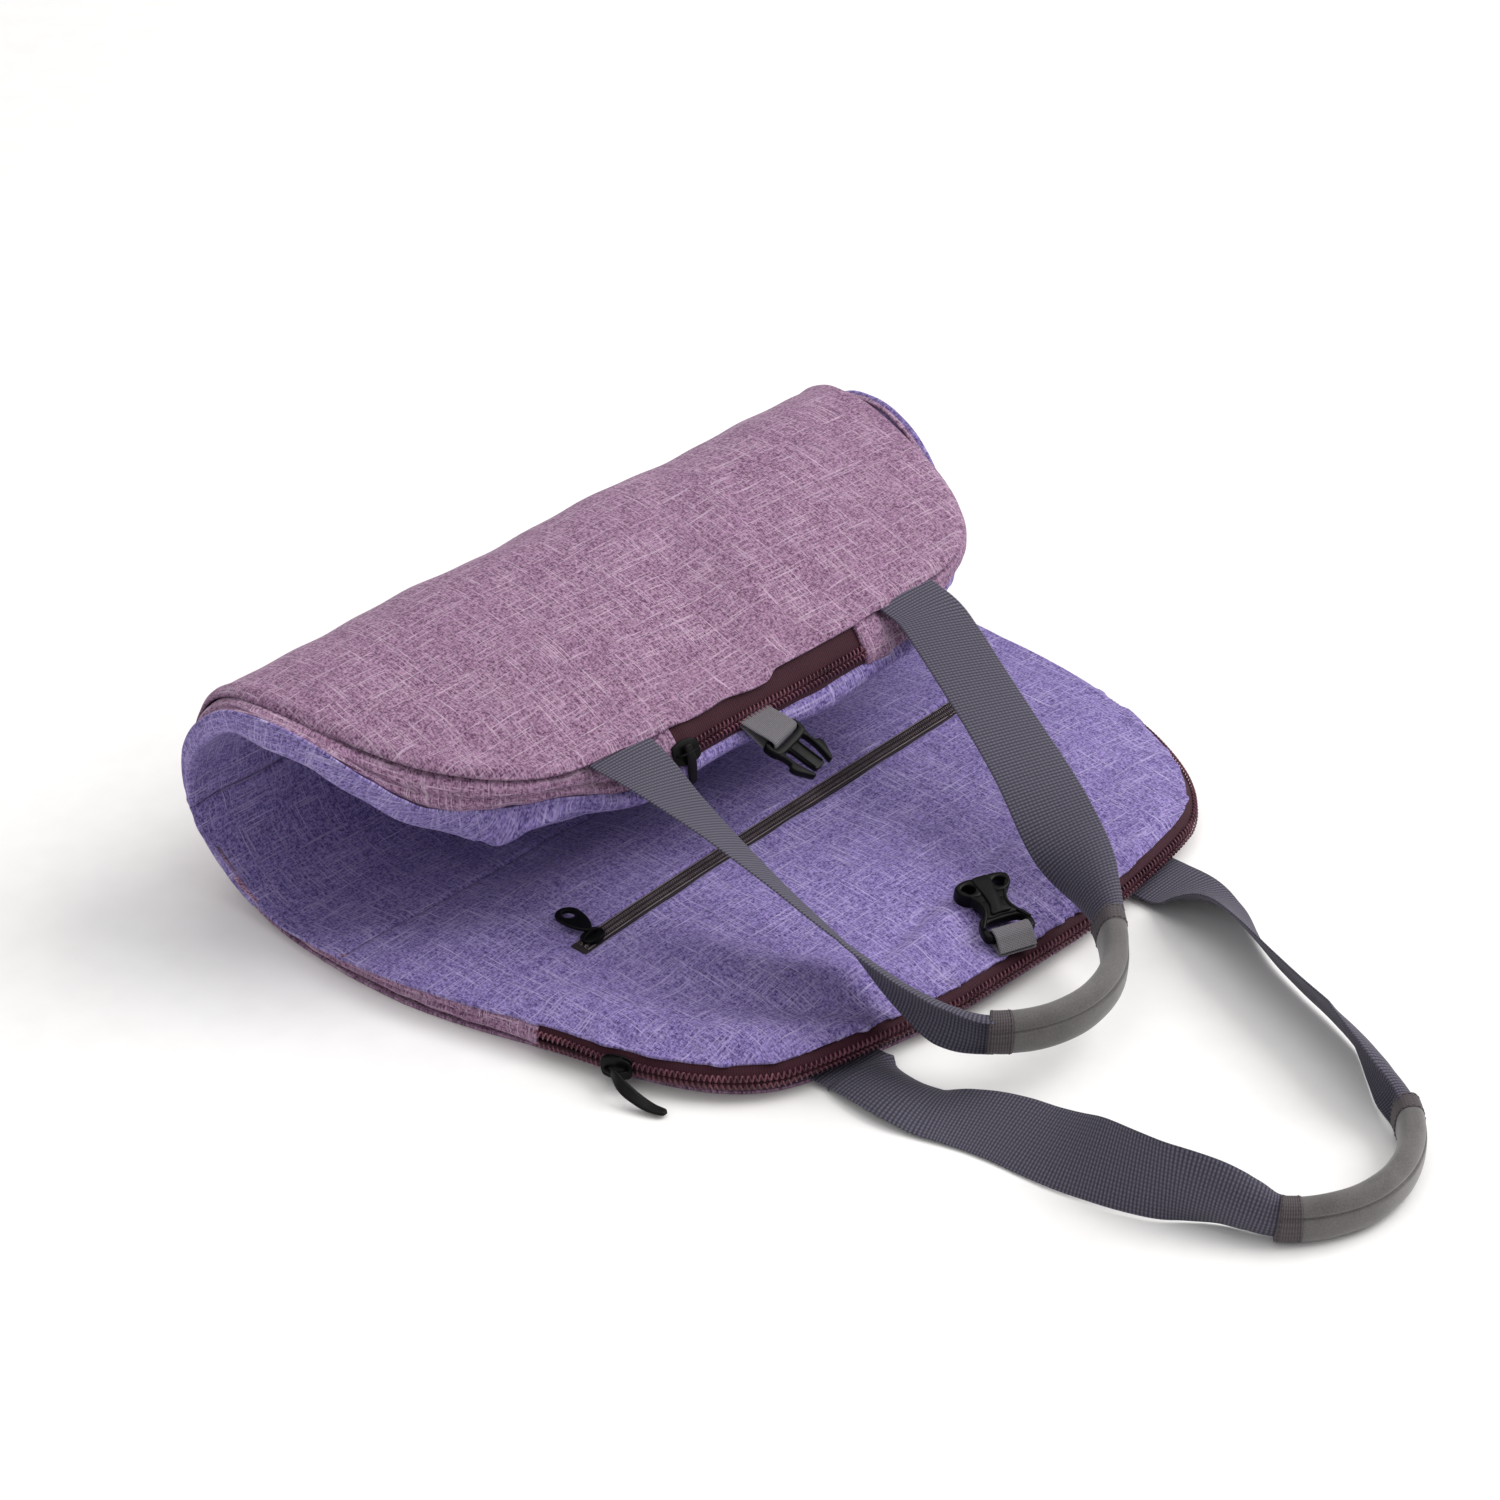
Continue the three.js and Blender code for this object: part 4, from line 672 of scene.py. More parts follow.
# lining of one half, or of the tunnel base, on rows of the outline: a half, steps along it and a shift along
# the section
def liningGrid(rowsList, columns):
    v = shareAcross(columns, liningSet["crowd"])
    faces, places = [], []
    for half, steps, shift in rowsList:
        rows = outlineAt(half, steps)
        back, nx, nd = (rows[key][:, None] for key in ("back", "nx", "nd"))
        distance = liningDistance(panelDistance(half, back)) + shift
        wide = rows["wide"][:, None] + flareAt(distance, v[None, :])
        off = v * wide
        x = leanAt(half, back) + off
        fromSeam, fromFront = wide - np.abs(off), liningReach - distance
        calm = smooth(fromSeam, 0, 14) * smooth(distance, 0, 14) * smooth(fromFront, 0, 10)
        waves = ripple(off, distance, 95, 11) + 0.5 * ripple(off, distance, 40, 12)
        stand = liningStand(distance, x, fromSeam, v[None, :]) + liningSet["ripple"] * waves * calm
        seamFrom = np.abs(back - seamBack)
        stand = stand - liningSet["seam"] * bell(seamFrom, 1.6)
        stand = stand + liningSet["seamWelt"] * bell(seamFrom - 5, 2.5)
        if half == "lower":  # puckers and scallops gather along the zip
            y = liningRows[0][0] + distance
            rim = np.minimum(fromSeam * nx, distance)
            puckers = np.maximum(ripple(x, y, 21, 13, 8), -0.1) * bell(rim, 13) * smooth(rim, 0, 4) * (y < 20)
            stand = stand + creases(x, y, lowerCreases) * calm + pocketBed(x, y)
            stand = stand + liningSet["pucker"] * puckers
            points = sectionPoint(liningCurve, np.broadcast_to(distance, x.shape), x, -stand)
            scallops = np.maximum(ripple(x, y, 17, 14, 7), 0) * bell(rim, 5) * (1 - smooth(y, 0, 24))
            outward = np.stack(np.broadcast_arrays(np.sign(v)[None, :] * nx, -nd, 0.5), -1)
            points = points + (liningSet["scallop"] * scallops)[..., None] * outward
        else:
            lip = 1.8 + 2.0 * (v < 0) * smooth(fromFront, 34, 70)  # the side seam turns in behind the strip
            stand = stand + creases(x, fromFront, upperCreases) * smooth(fromSeam, 1, 8)
            stand = stand - lip * bell(fromSeam, 1.8) * smooth(fromFront, 20, 40)
            points = upperSection(np.broadcast_to(distance, x.shape), x, -stand)
            points = points + sideRoll(x, fromSeam, fromFront, v[None, :])
        faces.append(points)
        reach = np.cumsum(np.linalg.norm(np.diff(points, axis=1, prepend=points[:, :1]), axis=2), 1)
        extra = (reach - off) - (reach - off)[:, columns // 2][:, None]
        places.append(np.stack([x + evenRows(extra), np.broadcast_to(distance, x.shape)], -1))
    return np.vstack(faces), np.vstack(places)


seamSteps = {half: stepAtBack(half, seamBack) for half in outlines}
foldSteps = {half: outlines[half]["line"]["reach"] for half in outlines}
liningGrids = {
    "lower": liningGrid([("lower", np.linspace(0, seamSteps["lower"], 190), 0)], 151),
    "base": liningGrid([("lower", np.linspace(seamSteps["lower"], foldSteps["lower"], 26), 0.3),
                        ("upper", np.linspace(foldSteps["upper"], seamSteps["upper"], 26)[1:], 0)], 91),
    "upper": liningGrid([("upper", np.linspace(0, seamSteps["upper"], 125), 0.3)], 131),
}
linings = {}
for part, grid in liningGrids.items():
    sheet = Shape().grid(*grid, flip=part != "upper")
    linings[part] = sheet.make(f"lining_{part}_cloth", lavenderCloth, "lavender_cloth", [f"lining_{part}"],
                               clothThick)
declareSheet(linings["lower"], cutSize("lower", 0, seamBack))
declareSheet(linings["upper"], cutSize("upper", 0, seamBack))
baseCut = cutSize("lower", seamBack, outerReach / 2) + cutSize("upper", seamBack, outerReach / 2)
baseCut[0] /= 2
declareSheet(linings["base"], baseCut)
print("linings:", {part: len(piece.data.polygons) for part, piece in linings.items()})


# a place on the lower lining at x and y, raised off the cloth
def onLining(x, y, raised):
    x, y = np.broadcast_arrays(np.asarray(x, float), np.asarray(y, float))
    distance = y - liningRows[0][0]
    off = x - leanAt("lower", distance)
    wide = wideAt("lower", distance) + flareAt(distance, off)
    stand = liningStand(distance, x, wide - np.abs(off), off / wide) + creases(x, y, lowerCreases)
    return sectionPoint(liningCurve, distance, x, -stand - raised)


# side strips and zips
rimSet = {"inset": 2.0, "upperInset": 1.6, "gap": 0.8, "strapRoom": 2.0, "sunk": 0.3, "zipBulge": 6.0,
          "foldBulge": 2.5, "frontFlat": 3.2}
# ends and slider as distances back from the lower edge, the upper zip's end as a step along its outline,
# the middle and the half opening as shares of the strip's width
zipSet = {"endBack": 131.0, "sliderBack": 84.0, "upperStep": 31.4, "middle": {"lower": 0.52, "upper": 0.6},
          "closed": 0.012, "parted": (0.09, 0.075), "thick": 1.1, "pitch": 2.7, "wire": 0.5, "high": 0.8,
          "reach": 1.5, "split": 1.95, "partedSplit": 1.4, "lift": 0.8}


# rim places: a point under the panel's edge, one behind the lining's edge, and the way out between them
def rimPlaces(rows, side):
    half, back = rows["half"], rows["back"]
    nx = rows["nx"] * side
    deep = (half == "upper") * smooth(back, 8, 24) * (1 - smooth(back, 200, 240))
    x = leanAt(half, back) + side * rows["wide"] - (rimSet["inset"] + rimSet["upperInset"] * deep) * nx
    distance = panelDistance(half, back + rimSet["inset"] * rows["nd"])
    along = onCurve(outerCurve, distance, "along")
    strap = smooth(np.abs(x), 64, 72) * (1 - smooth(np.abs(x), 140, 148)) * (1 - smooth(back, 34, 42))
    inner = liningDistance(distance)
    under = clothThick + rimSet["gap"] + rimSet["strapRoom"] * strap
    edgeX = x + side * flareAt(inner, side)
    sunk = rimSet["sunk"] + liningColumn(raisedColumn, inner)
    start = sectionPoint(outerCurve, distance, x, -under)
    if half == "upper":
        end = upperSection(inner, edgeX, sunk)
    else:
        end = sectionPoint(liningCurve, inner, edgeX, sunk)
    turn = -rows["nd"] if half == "lower" else rows["nd"]
    out = np.stack([nx, along[:, 0] * turn, along[:, 1] * turn], -1)
    bulge = rimSet["zipBulge"] + (rimSet["foldBulge"] - rimSet["zipBulge"]) * smooth(back, 90, 215)
    bulge = bulge - rimSet["frontFlat"] * (half == "upper") * (1 - smooth(back, 3, 15))
    return {"start": start, "end": end, "out": unit(out), "bulge": bulge}


def joinPlaces(parts):
    run = {key: np.concatenate([part[key] for part in parts]) for key in parts[0]}
    return {**run, "length": runLength((run["start"] + run["end"]) / 2)}


# run of places round the front of a half, from the left zip end across the straight middle to the right one
def frontRun(half, endStep, spacing=3.0):
    steps = np.append(np.arange(0, endStep, spacing), endStep)
    parts = [rimPlaces(outlineAt(half, steps[::-1]), -1)]
    for side, xs in ((-1, np.arange(-42, 0, spacing)), (1, np.arange(0, 43, spacing))):
        flat = np.zeros(len(xs))
        rows = {"half": half, "back": flat, "wide": np.abs(xs), "nx": flat, "nd": flat + 1}
        parts.append(rimPlaces(rows, side))
    return joinPlaces(parts + [rimPlaces(outlineAt(half, steps), 1)])


def runAt(run, distance):
    made = {}
    for key in ("start", "end", "out"):
        made[key] = np.stack([np.interp(distance, run["length"], column) for column in run[key].T], -1)
    made["bulge"] = np.interp(distance, run["length"], run["bulge"])
    made["length"] = distance
    return made


# point on the strip at the share w from the panel's rim to the lining's: a straight line bulged outward as a
# parabola, carried straight in under the neighbours past either rim, with its own normal
def stripFrame(run, w):
    across = (run["end"] - run["start"])[:, None, :]
    wide = np.linalg.norm(across, axis=-1, keepdims=True)
    out, bulge = run["out"][:, None, :], run["bulge"][:, None, None]
    w = np.broadcast_to(np.asarray(w, float), (len(run["bulge"]), np.shape(w)[-1]))[..., None]
    held = np.clip(w, 0, 1)
    slope = across + out * 4 * bulge * (1 - 2 * held)
    side = unit(np.cross(out, across))
    normal = unit(np.cross(slope, np.broadcast_to(side, slope.shape)))
    lifted = 4 * bulge * held * (1 - held) - np.abs(w - held) * wide
    at = run["start"][:, None, :] + across * held + out * lifted
    return at, normal, np.broadcast_to(side, at.shape), unit(slope)


def stripGrid(run, w, raised):
    at, normal, _, _ = stripFrame(run, w)
    wide = np.linalg.norm(run["end"] - run["start"], axis=1)[:, None]
    place = np.stack(np.broadcast_arrays(np.asarray(w) * wide, run["length"][:, None]), -1)
    return at + normal * np.asarray(raised)[..., None], place


gussetSet = {"spacing": 3.0, "columns": 21, "crease": 2.6, "creaseWide": 0.09, "seam": 2.2, "seamWide": 0.1,
             "lap": 4.0, "lapHigh": 0.9, "zipLap": {-1: 6.0, 1: 16.0}, "zipLapHigh": 1.1, "pucker": 0.35,
             "past": 0.12, "cutShare": 1.3}


def gussetRun(side):
    zipEnd = stepAtBack("lower", zipSet["endBack"]) - gussetSet["lap"]
    upperEnd = zipSet["upperStep"] - gussetSet["zipLap"][side]
    lower = outlineAt("lower", np.arange(zipEnd, foldSteps["lower"], gussetSet["spacing"]))
    upper = outlineAt("upper", np.arange(foldSteps["upper"], upperEnd, -gussetSet["spacing"]))
    return joinPlaces([rimPlaces(lower, side), rimPlaces(upper, side)])


# side strip: rim to rim, a shallow lengthwise crease, a groove at the panel's rim, slight puckers, and a
# folded lap raised over the zip's ends
def gussetGrid(run, side):
    w = np.linspace(-gussetSet["past"], 1 + gussetSet["past"], gussetSet["columns"])
    length = run["length"][:, None]
    toEnd = length[-1] - length
    fromEnd = np.minimum(length, toEnd)
    lap, zipLap = gussetSet["lap"], gussetSet["zipLap"][side]
    raised = gussetSet["lapHigh"] * (1 - smooth(length, lap, lap + 3))
    raised = raised + gussetSet["zipLapHigh"] * (1 - smooth(toEnd, zipLap, zipLap + 5))
    raised = raised - gussetSet["crease"] * bell(w - 0.5, gussetSet["creaseWide"]) * smooth(fromEnd, 6, 40)
    raised = raised - gussetSet["seam"] * bell(w, gussetSet["seamWide"]) * smooth(fromEnd, 6, 30)
    puckers = ripple(length, w * 20, 26, 21 + side, 7) * smooth(fromEnd, 2, 20)
    return stripGrid(run, w, raised + gussetSet["pucker"] * puckers)


# flat cut of a strip along a run: mean width, length and area in metres
def stripCut(run, share):
    wide = np.linalg.norm(run["end"] - run["start"], axis=1) * share
    long = run["length"][-1]
    return np.array([wide.mean() / 1000, long / 1000, wide.mean() * long / 1e6])


for sideName, side in (("left", -1), ("right", 1)):
    sideRun = gussetRun(side)
    gusset = Shape().grid(*gussetGrid(sideRun, side), flip=side < 0)
    node = f"gusset_{sideName}"
    gusset = gusset.make(f"{node}_cloth", mauveCloth, "mauve_cloth", [node], clothThick)
    declareSheet(gusset, stripCut(sideRun, gussetSet["cutShare"]))
    print("side strip:", sideName, len(gusset.data.polygons), "faces")


# nylon coil: a wire of six sides wound round a flat loop, one turn a pitch, at a share across the strip's
# run; a real turn of about 1.3 mm would not show, so it is drawn twice as coarse
def coilRings(run, share, start, end, wind):
    count = int((end - start) / zipSet["pitch"])
    t = np.arange(count * 10 + 1) / 10
    distance = start + t * zipSet["pitch"]
    here = np.interp(distance, run["length"], share)[:, None]
    at, normal, along, across = (part[:, 0] for part in stripFrame(runAt(run, distance), here))
    phase = 2 * math.pi * t * wind
    swing = np.sin(phase)[:, None] * zipSet["reach"]
    rise = np.cos(phase)[:, None] * zipSet["high"] + zipSet["lift"]
    return barRings(at + across * swing + normal * rise, 2 * zipSet["wire"], 2 * zipSet["wire"], along, 6)


# two tapes from the rims to the opening, and a coil along each; the opening is wider before the slider
def zipPieces(half, endStep, tapeNodes, openEnd, covered):
    run = frontRun(half, endStep)
    length, total = run["length"], run["length"][-1]
    middle = zipSet["middle"][half]
    opening = np.full(len(length), zipSet["closed"])
    if openEnd:
        opening = np.interp(length, [0, openEnd * 0.55, openEnd], [*zipSet["parted"], zipSet["closed"]])
    under = 0.2 * smooth(np.minimum(length, total - length), 3, 16)
    made = []
    for node, low, high in zip(tapeNodes, (-under, middle + opening), (middle - opening, 1 + under)):
        w = low[:, None] + (high - low)[:, None] * np.linspace(0, 1, 13)
        wave = 0.25 * ripple(length[:, None], w * 9, 30, 31, 6)
        tape = Shape().grid(*stripGrid(run, w, wave - 0.15), flip=half == "upper")
        made.append(tape.make(f"{node}_weave", burgundyTape, "zip_tape", [node], zipSet["thick"]))
        declareSheet(made[-1], stripCut(run, np.mean(high - low) * 1.1))
    wide = np.linalg.norm(run["end"] - run["start"], axis=1)
    apart = np.where(length < openEnd, opening + zipSet["partedSplit"] / wide, zipSet["split"] / wide)
    teeth = Shape()
    for sign in (-1, 1):
        teeth.grid(coilRings(run, middle + sign * apart, covered[0], total - covered[1], sign), wrapCols=True)
    made.append(teeth.make(f"{half}_zip_coil_teeth", burgundyCoil, "zip_coil", [f"{half}_zip_coil"]))
    return run, made


lowerEndStep = stepAtBack("lower", zipSet["endBack"])
lowerOpenEnd = lowerEndStep - stepAtBack("lower", zipSet["sliderBack"])
lowerRun, lowerZip = zipPieces("lower", lowerEndStep, ["lower_zip_tape_bottom", "lower_zip_tape_top"],
                               lowerOpenEnd, (3.0, 3.0))
upperRun, upperZip = zipPieces("upper", zipSet["upperStep"], ["upper_zip_tape_top", "upper_zip_tape_bottom"],
                               0, (5.0, 14.0))
print("zips:", [len(piece.data.polygons) for piece in lowerZip + upperZip])


# straps and padded grips
# centre line x, y, z, then the way across the webbing and its width
handleSet = {
    "lower": {"roots": (-114, 112), "grip": (16, 21), "seam": 1.2, "rows": [
        (-114.8, -139, 5, 0.99, -0.04, -0.05, 39), (-116, -152, 3.8, 0.99, 0.08, -0.1, 38),
        (-115.6, -166, 3.2, 0.97, 0.2, -0.1, 38.5), (-112.4, -180, 3, 0.95, 0.3, -0.03, 39.5),
        (-107.6, -193.4, 4, 0.95, 0.29, 0.11, 40), (-103.6, -207.5, 6, 0.94, 0.24, 0.23, 40),
        (-101, -223, 7.9, 0.92, 0.2, 0.33, 40), (-99.8, -240.5, 9.8, 0.88, 0.18, 0.43, 40),
        (-99.4, -256.5, 12.8, 0.8, 0.17, 0.57, 40), (-99.4, -273, 16.8, 0.6, 0.14, 0.78, 40),
        (-98.2, -290, 19.2, 0.42, 0.11, 0.9, 40), (-95.2, -305.5, 20.4, 0.26, 0.08, 0.96, 40),
        (-90.4, -319.5, 20.7, 0.12, 0.05, 0.99, 39.5), (-83.8, -334, 18.8, 0.04, 0.02, 1, 36.5),
        (-76.6, -349, 15.6, 0, 0, 1, 29.5), (-69, -361, 12.6, 0, 0, 1, 20),
        (-52, -376, 12.6, 0, 0, 1, 20), (-29, -384, 12.6, 0, 0, 1, 20), (-4, -382, 12.6, 0, 0, 1, 20),
        (19, -371, 12.8, 0, 0, 1, 20), (36, -353, 13.6, 0, 0, 1, 20),
        (46, -331, 16.4, -0.2, 0.05, 0.97, 32), (56, -311, 18, -0.35, 0.1, 0.92, 37),
        (64, -292, 18.6, -0.45, 0.15, 0.88, 40), (72, -268, 18.6, -0.5, 0.17, 0.84, 40),
        (80, -242, 18.6, -0.51, 0.17, 0.84, 40), (90, -214, 18.2, -0.54, 0.17, 0.82, 40),
        (101, -189, 15.6, -0.7, 0.15, 0.7, 40), (108.5, -168, 9.6, -0.9, 0.1, 0.4, 40),
        (112, -150, 4.6, -1, 0, 0.05, 40)]},
    "upper": {"roots": (-105, 102), "grip": (8, 13), "seam": -1.94, "rows": [
        (-105, 20, 101.8, 0.98, 0.09, -0.15, 40), (-105, -2, 95.6, 0.92, 0.2, -0.34, 40),
        (-103.5, -30, 86.5, 0.83, 0.28, -0.49, 40), (-100, -67, 72, 0.73, 0.34, -0.6, 40),
        (-94.5, -106, 55, 0.65, 0.38, -0.66, 40), (-90, -141, 41.5, 0.42, 0.4, -0.8, 37),
        (-86, -167, 35, 0.2, 0.25, -0.95, 31), (-77, -186, 33.5, 0.1, 0.1, -1, 20),
        (-55, -201.5, 33, 0, 0, -1, 20), (-29, -206, 33, 0, 0, -1, 20), (-4, -200, 33.5, 0, 0, -1, 20),
        (15, -186, 34.5, -0.1, 0.05, -1, 20), (29, -169, 37.5, -0.25, 0.1, -0.95, 20),
        (39, -148, 44.5, -0.5, 0.15, -0.85, 32), (48, -124, 55, -0.8, 0.1, -0.5, 39),
        (61, -92, 69, -0.97, 0, -0.2, 40), (72, -60, 81, -1, 0, -0.05, 40), (83, -29, 90.5, -1, 0, 0, 40),
        (95, 2, 98, -1, 0, 0, 40), (101, 20, 102, -1, 0, 0, 40)]},
}
webSet = {"wide": 40.0, "thick": 1.5, "spacing": 2.5, "closed": 10.0, "floor": 0.2, "under": 0.4,
          "rootBacks": (25, 14, 3)}
gripSet = {"wide": 23.0, "thick": 14.0, "band": 11.0, "extra": 0.7, "groove": 1.3, "grooveWide": 0.075,
           "bandGroove": 0.9, "lumps": 0.008, "inside": 3.0}


# value of a column between its rows, by the same rounded blend as the curve
def blendRows(row, column):
    full = np.concatenate([[2 * column[0] - column[1]], column, [2 * column[-1] - column[-2]]])
    k = np.clip(row.astype(int), 0, len(column) - 2)
    t = row - k
    a, b, c, d = (full[k + i] for i in range(4))
    return b + 0.5 * t * (c - a + t * (2 * a - 5 * b + 4 * c - d + t * (3 * (b - c) + d - a)))


def pathFrames(table, distance, curve):
    row = rowOn(curve, distance)
    at, along = onCurve(curve, distance), onCurve(curve, distance, "along")
    across = np.stack([blendRows(row, table[:, i]) for i in (3, 4, 5)], -1)
    across = unit(across - along * np.sum(across * along, -1, keepdims=True))
    return {"at": at, "along": along, "across": across, "up": np.cross(along, across),
            "wide": blendRows(row, table[:, 6]), "distance": distance}


# half angle of an arc whose chord is the given share of its length
def arcAngle(share):
    angles = np.linspace(1e-3, 2.4, 400)
    return np.interp(-share, -np.sin(angles) / angles, angles)


# strap section: an arc of fixed length that closes up where the strap narrows, a thin rounded band along it
def strapRings(frames):
    wide = webSet["wide"]
    angle = arcAngle(np.clip(frames["wide"] / wide, 0.3, 0.9995))[:, None]
    turn = circle(44)
    q = blunt(np.cos(turn), 0.55)
    level = blunt(np.sin(turn), 0.35)[None, :] * webSet["thick"] / 2
    radius = wide / (2 * angle)
    lean = q[None, :] * angle
    high = (1 - np.cos(angle)) * radius
    press = np.minimum(1, webSet["closed"] / np.maximum(high, 1e-6))  # a closed strap is pressed flat
    sideways = np.sin(lean) * (radius + level)
    upward = (np.cos(lean) - 1) * radius * press + np.cos(lean) * level
    middle = high * press * (0.38 + 0.12 * smooth(high, 6, 12))
    ring = frames["at"][:, None] + frames["across"][:, None] * sideways[..., None]
    ring = ring + frames["up"][:, None] * (upward + middle)[..., None]
    place = np.stack(np.broadcast_arrays(q[None, :] * wide / 2, frames["distance"][:, None]), -1)
    return ring, place


# padded section: a blunt oval with a narrow groove at an angle, where its cover is sewn shut
def gripRings(frames, extra, seam, groove, lumps=0.0):
    wide, thick = gripSet["wide"] + extra, gripSet["thick"] + extra
    turn = circle(96)
    gap = np.angle(np.exp(1j * (turn - seam)))
    size = 1 - groove / thick * 2 * bell(gap, gripSet["grooveWide"])
    size = size * (1 + lumps * ripple(frames["distance"][:, None], turn[None, :] * 8, 30, 41))
    sideways, upward = (blunt(wave, 0.8) * size for wave in (np.cos(turn), np.sin(turn)))
    ring = frames["at"][:, None] + frames["across"][:, None] * (sideways * wide / 2)[..., None]
    ring = ring + frames["up"][:, None] * (upward * thick / 2)[..., None]
    place = np.stack(np.broadcast_arrays(turn[None, :] * 6.0, frames["distance"][:, None]), -1)
    return ring, place


# running stitches along closed rings: each a thin rod with six sides, raised and thickest at its middle
def stitchRods(rings, ways, long=2.0, gap=0.9, thick=0.5):
    shape = Shape()
    share = np.linspace(0, 1, 5)
    arch = np.sin(math.pi * share)
    for ring, way in zip(rings, ways):
        loop = np.vstack([ring, ring[:1]])
        length = runLength(loop)
        count = int(length[-1] / (long + gap))
        distance = (np.arange(count) * length[-1] / count)[:, None] + share[None, :] * long
        at = np.stack([np.interp(distance % length[-1], length, column) for column in loop.T], -1)
        out = at - ring.mean(0)
        out = unit(out - way * np.sum(out * way, -1, keepdims=True))
        at = at + out * (0.12 * arch)[None, :, None]
        slim = (0.55 + 0.45 * arch)[None, :, None, None] * thick / 2
        section = way * np.cos(circle(6))[:, None] + out[:, :, None, :] * np.sin(circle(6))[:, None]
        for rod in at[:, :, None, :] + section * slim:
            shape.grid(rod, wrapCols=True)
    return shape


# the sewn root of a strap under the panel, as rows like those of the table
def rootRows(half, x, way):
    backs = np.array(webSet["rootBacks"], float)
    count = len(backs)
    sunk = clothThick + webSet["under"] + webSet["thick"] / 2
    spots = sectionPoint(outerCurve, panelDistance(half, backs), np.full(count, float(x)), -sunk)
    return np.column_stack([spots, np.full(count, way), np.zeros((count, 2)), np.full(count, webSet["wide"])])


handlePieces = {}
for half, handle in handleSet.items():
    roots = [rootRows(half, x, way) for x, way in zip(handle["roots"], (1, -1))]
    table = np.vstack([roots[0], np.array(handle["rows"], float), roots[1][::-1]])
    curve = curveThrough(table[:, :3])
    gripRows = np.array(handle["grip"]) + len(roots[0]) - 1
    gripFrom, gripTo = np.interp(gripRows, curve["row"], curve["length"])
    legs = {"left": (0, gripFrom + gripSet["inside"]), "right": (gripTo - gripSet["inside"], curve["reach"])}
    for side, (start, end) in legs.items():
        frames = pathFrames(table, np.linspace(start, end, int((end - start) / webSet["spacing"])), curve)
        rings, place = strapRings(frames)
        rings[..., 2] += np.maximum(webSet["floor"] - rings[..., 2].min(1, keepdims=True), 0)  # off the floor
        node = f"{half}_handle_webbing_{side}"
        strap = Shape().grid(rings, place, wrapCols=True)
        handlePieces[node] = strap.make(f"{node}_strap", greyWebbing, "grey_webbing", [node])
        cut = np.array([webSet["wide"], end - start]) / 1000
        declareSheet(handlePieces[node], (*cut, cut.prod()))
    band = gripSet["band"]
    for side, start in (("left", gripFrom), ("right", gripTo - band)):
        frames = pathFrames(table, np.linspace(start, start + band, 12), curve)
        rings, place = gripRings(frames, gripSet["extra"], handle["seam"], gripSet["bandGroove"])
        node = f"{half}_handle_band_{side}"
        sleeve = Shape().grid(rings, place, wrapCols=True)
        handlePieces[node] = sleeve.make(f"{node}_sleeve", bandCloth, "grip_band", [node])
        stitchRods(rings[[1, -2]], frames["along"][[1, -2]]).make(f"{node}_stitches", darkThread, "grip_band")
    frames = pathFrames(table, np.linspace(gripFrom + band - 1, gripTo - band + 1, 60), curve)
    rings, place = gripRings(frames, 0, handle["seam"], gripSet["groove"], gripSet["lumps"])
    node = f"{half}_handle_grip"
    cover = Shape().grid(rings, place, wrapCols=True)
    handlePieces[node] = cover.make(f"{node}_cover", gripCover, "grip_cover", [node])
print("handles:", len(handlePieces), "pieces")


# hard pieces
# blunt plate: an outline in (across, along) carried round a rounded edge profile, from low face to high face
def plateRings(outline, low, high, soft):
    turn = np.linspace(-math.pi / 2, math.pi / 2, 7)
    inward = soft * (1 - np.cos(turn))
    level = np.where(turn < 0, low + soft, high - soft) + soft * np.sin(turn)
    ways = unit(np.roll(outline, -1, 0) - np.roll(outline, 1, 0))
    inner = np.stack([-ways[:, 1], ways[:, 0]], -1)
    rings = outline[None] + inner[None] * inward[:, None, None]
    return np.concatenate([rings, np.broadcast_to(level[:, None, None], (*rings.shape[:2], 1))], -1)


# ring plate: a blunt section carried round a hole, from the hole's outline to the outer outline
def ringPlate(hole, outline, low, high):
    share = 0.5 - 0.5 * blunt(np.cos(circle(20)), 0.45)
    level = (low + high) / 2 + (high - low) / 2 * blunt(np.sin(circle(20)), 0.45)
    flat = hole[:, None] + (outline - hole)[:, None] * share[None, :, None]
    return np.concatenate([flat, np.broadcast_to(level[None, :, None], (*flat.shape[:2], 1))], -1)


# blunt oval hole that faces an outline: its points lie at the angles at which the outline's are seen
def holeFacing(outline, seenFrom, centre, half, powers):
    turn = np.arctan2(outline[:, 1] - seenFrom[1], outline[:, 0] - seenFrom[0])
    x = centre[0] + half[0] * blunt(np.cos(turn), powers[0])
    return np.stack([x, centre[1] + half[1] * blunt(np.sin(turn), powers[1])], -1)


# closed outline through a few corners, rounded by the same curve as the cloth, evenly stepped
def roundOutline(corners, count):
    closed = np.vstack([corners[-2:], corners, corners[:3]])
    curve = curveThrough(closed)
    start, end = (np.interp(k, curve["row"], curve["length"]) for k in (2, 2 + len(corners)))
    return onCurve(curve, np.linspace(start, end, count, endpoint=False))


# both sides of an outline whose right half is given as (half width, distance along)
def mirrored(rows):
    right = np.array(rows, float)
    left = right[::-1] * (-1, 1)
    return np.vstack([right, left[np.abs(left[:, 0]) > 1e-6]])


# sets points given as (across, along, up) on an origin with a way along and a way up
def setOn(points, origin, along, up):
    along = unit(np.asarray(along, float))
    across = unit(np.cross(along, np.asarray(up, float)))
    return np.asarray(origin) + points @ np.stack([across, along, np.cross(across, along)])


# adds rings given as (across, along, up) to a shape, all on one seat: an origin, a way along and a way up
def addSeated(shape, parts, seat, closed=False):
    for part in parts:
        shape.grid(setOn(part, *seat), wrapRows=closed, wrapCols=True)
    return shape


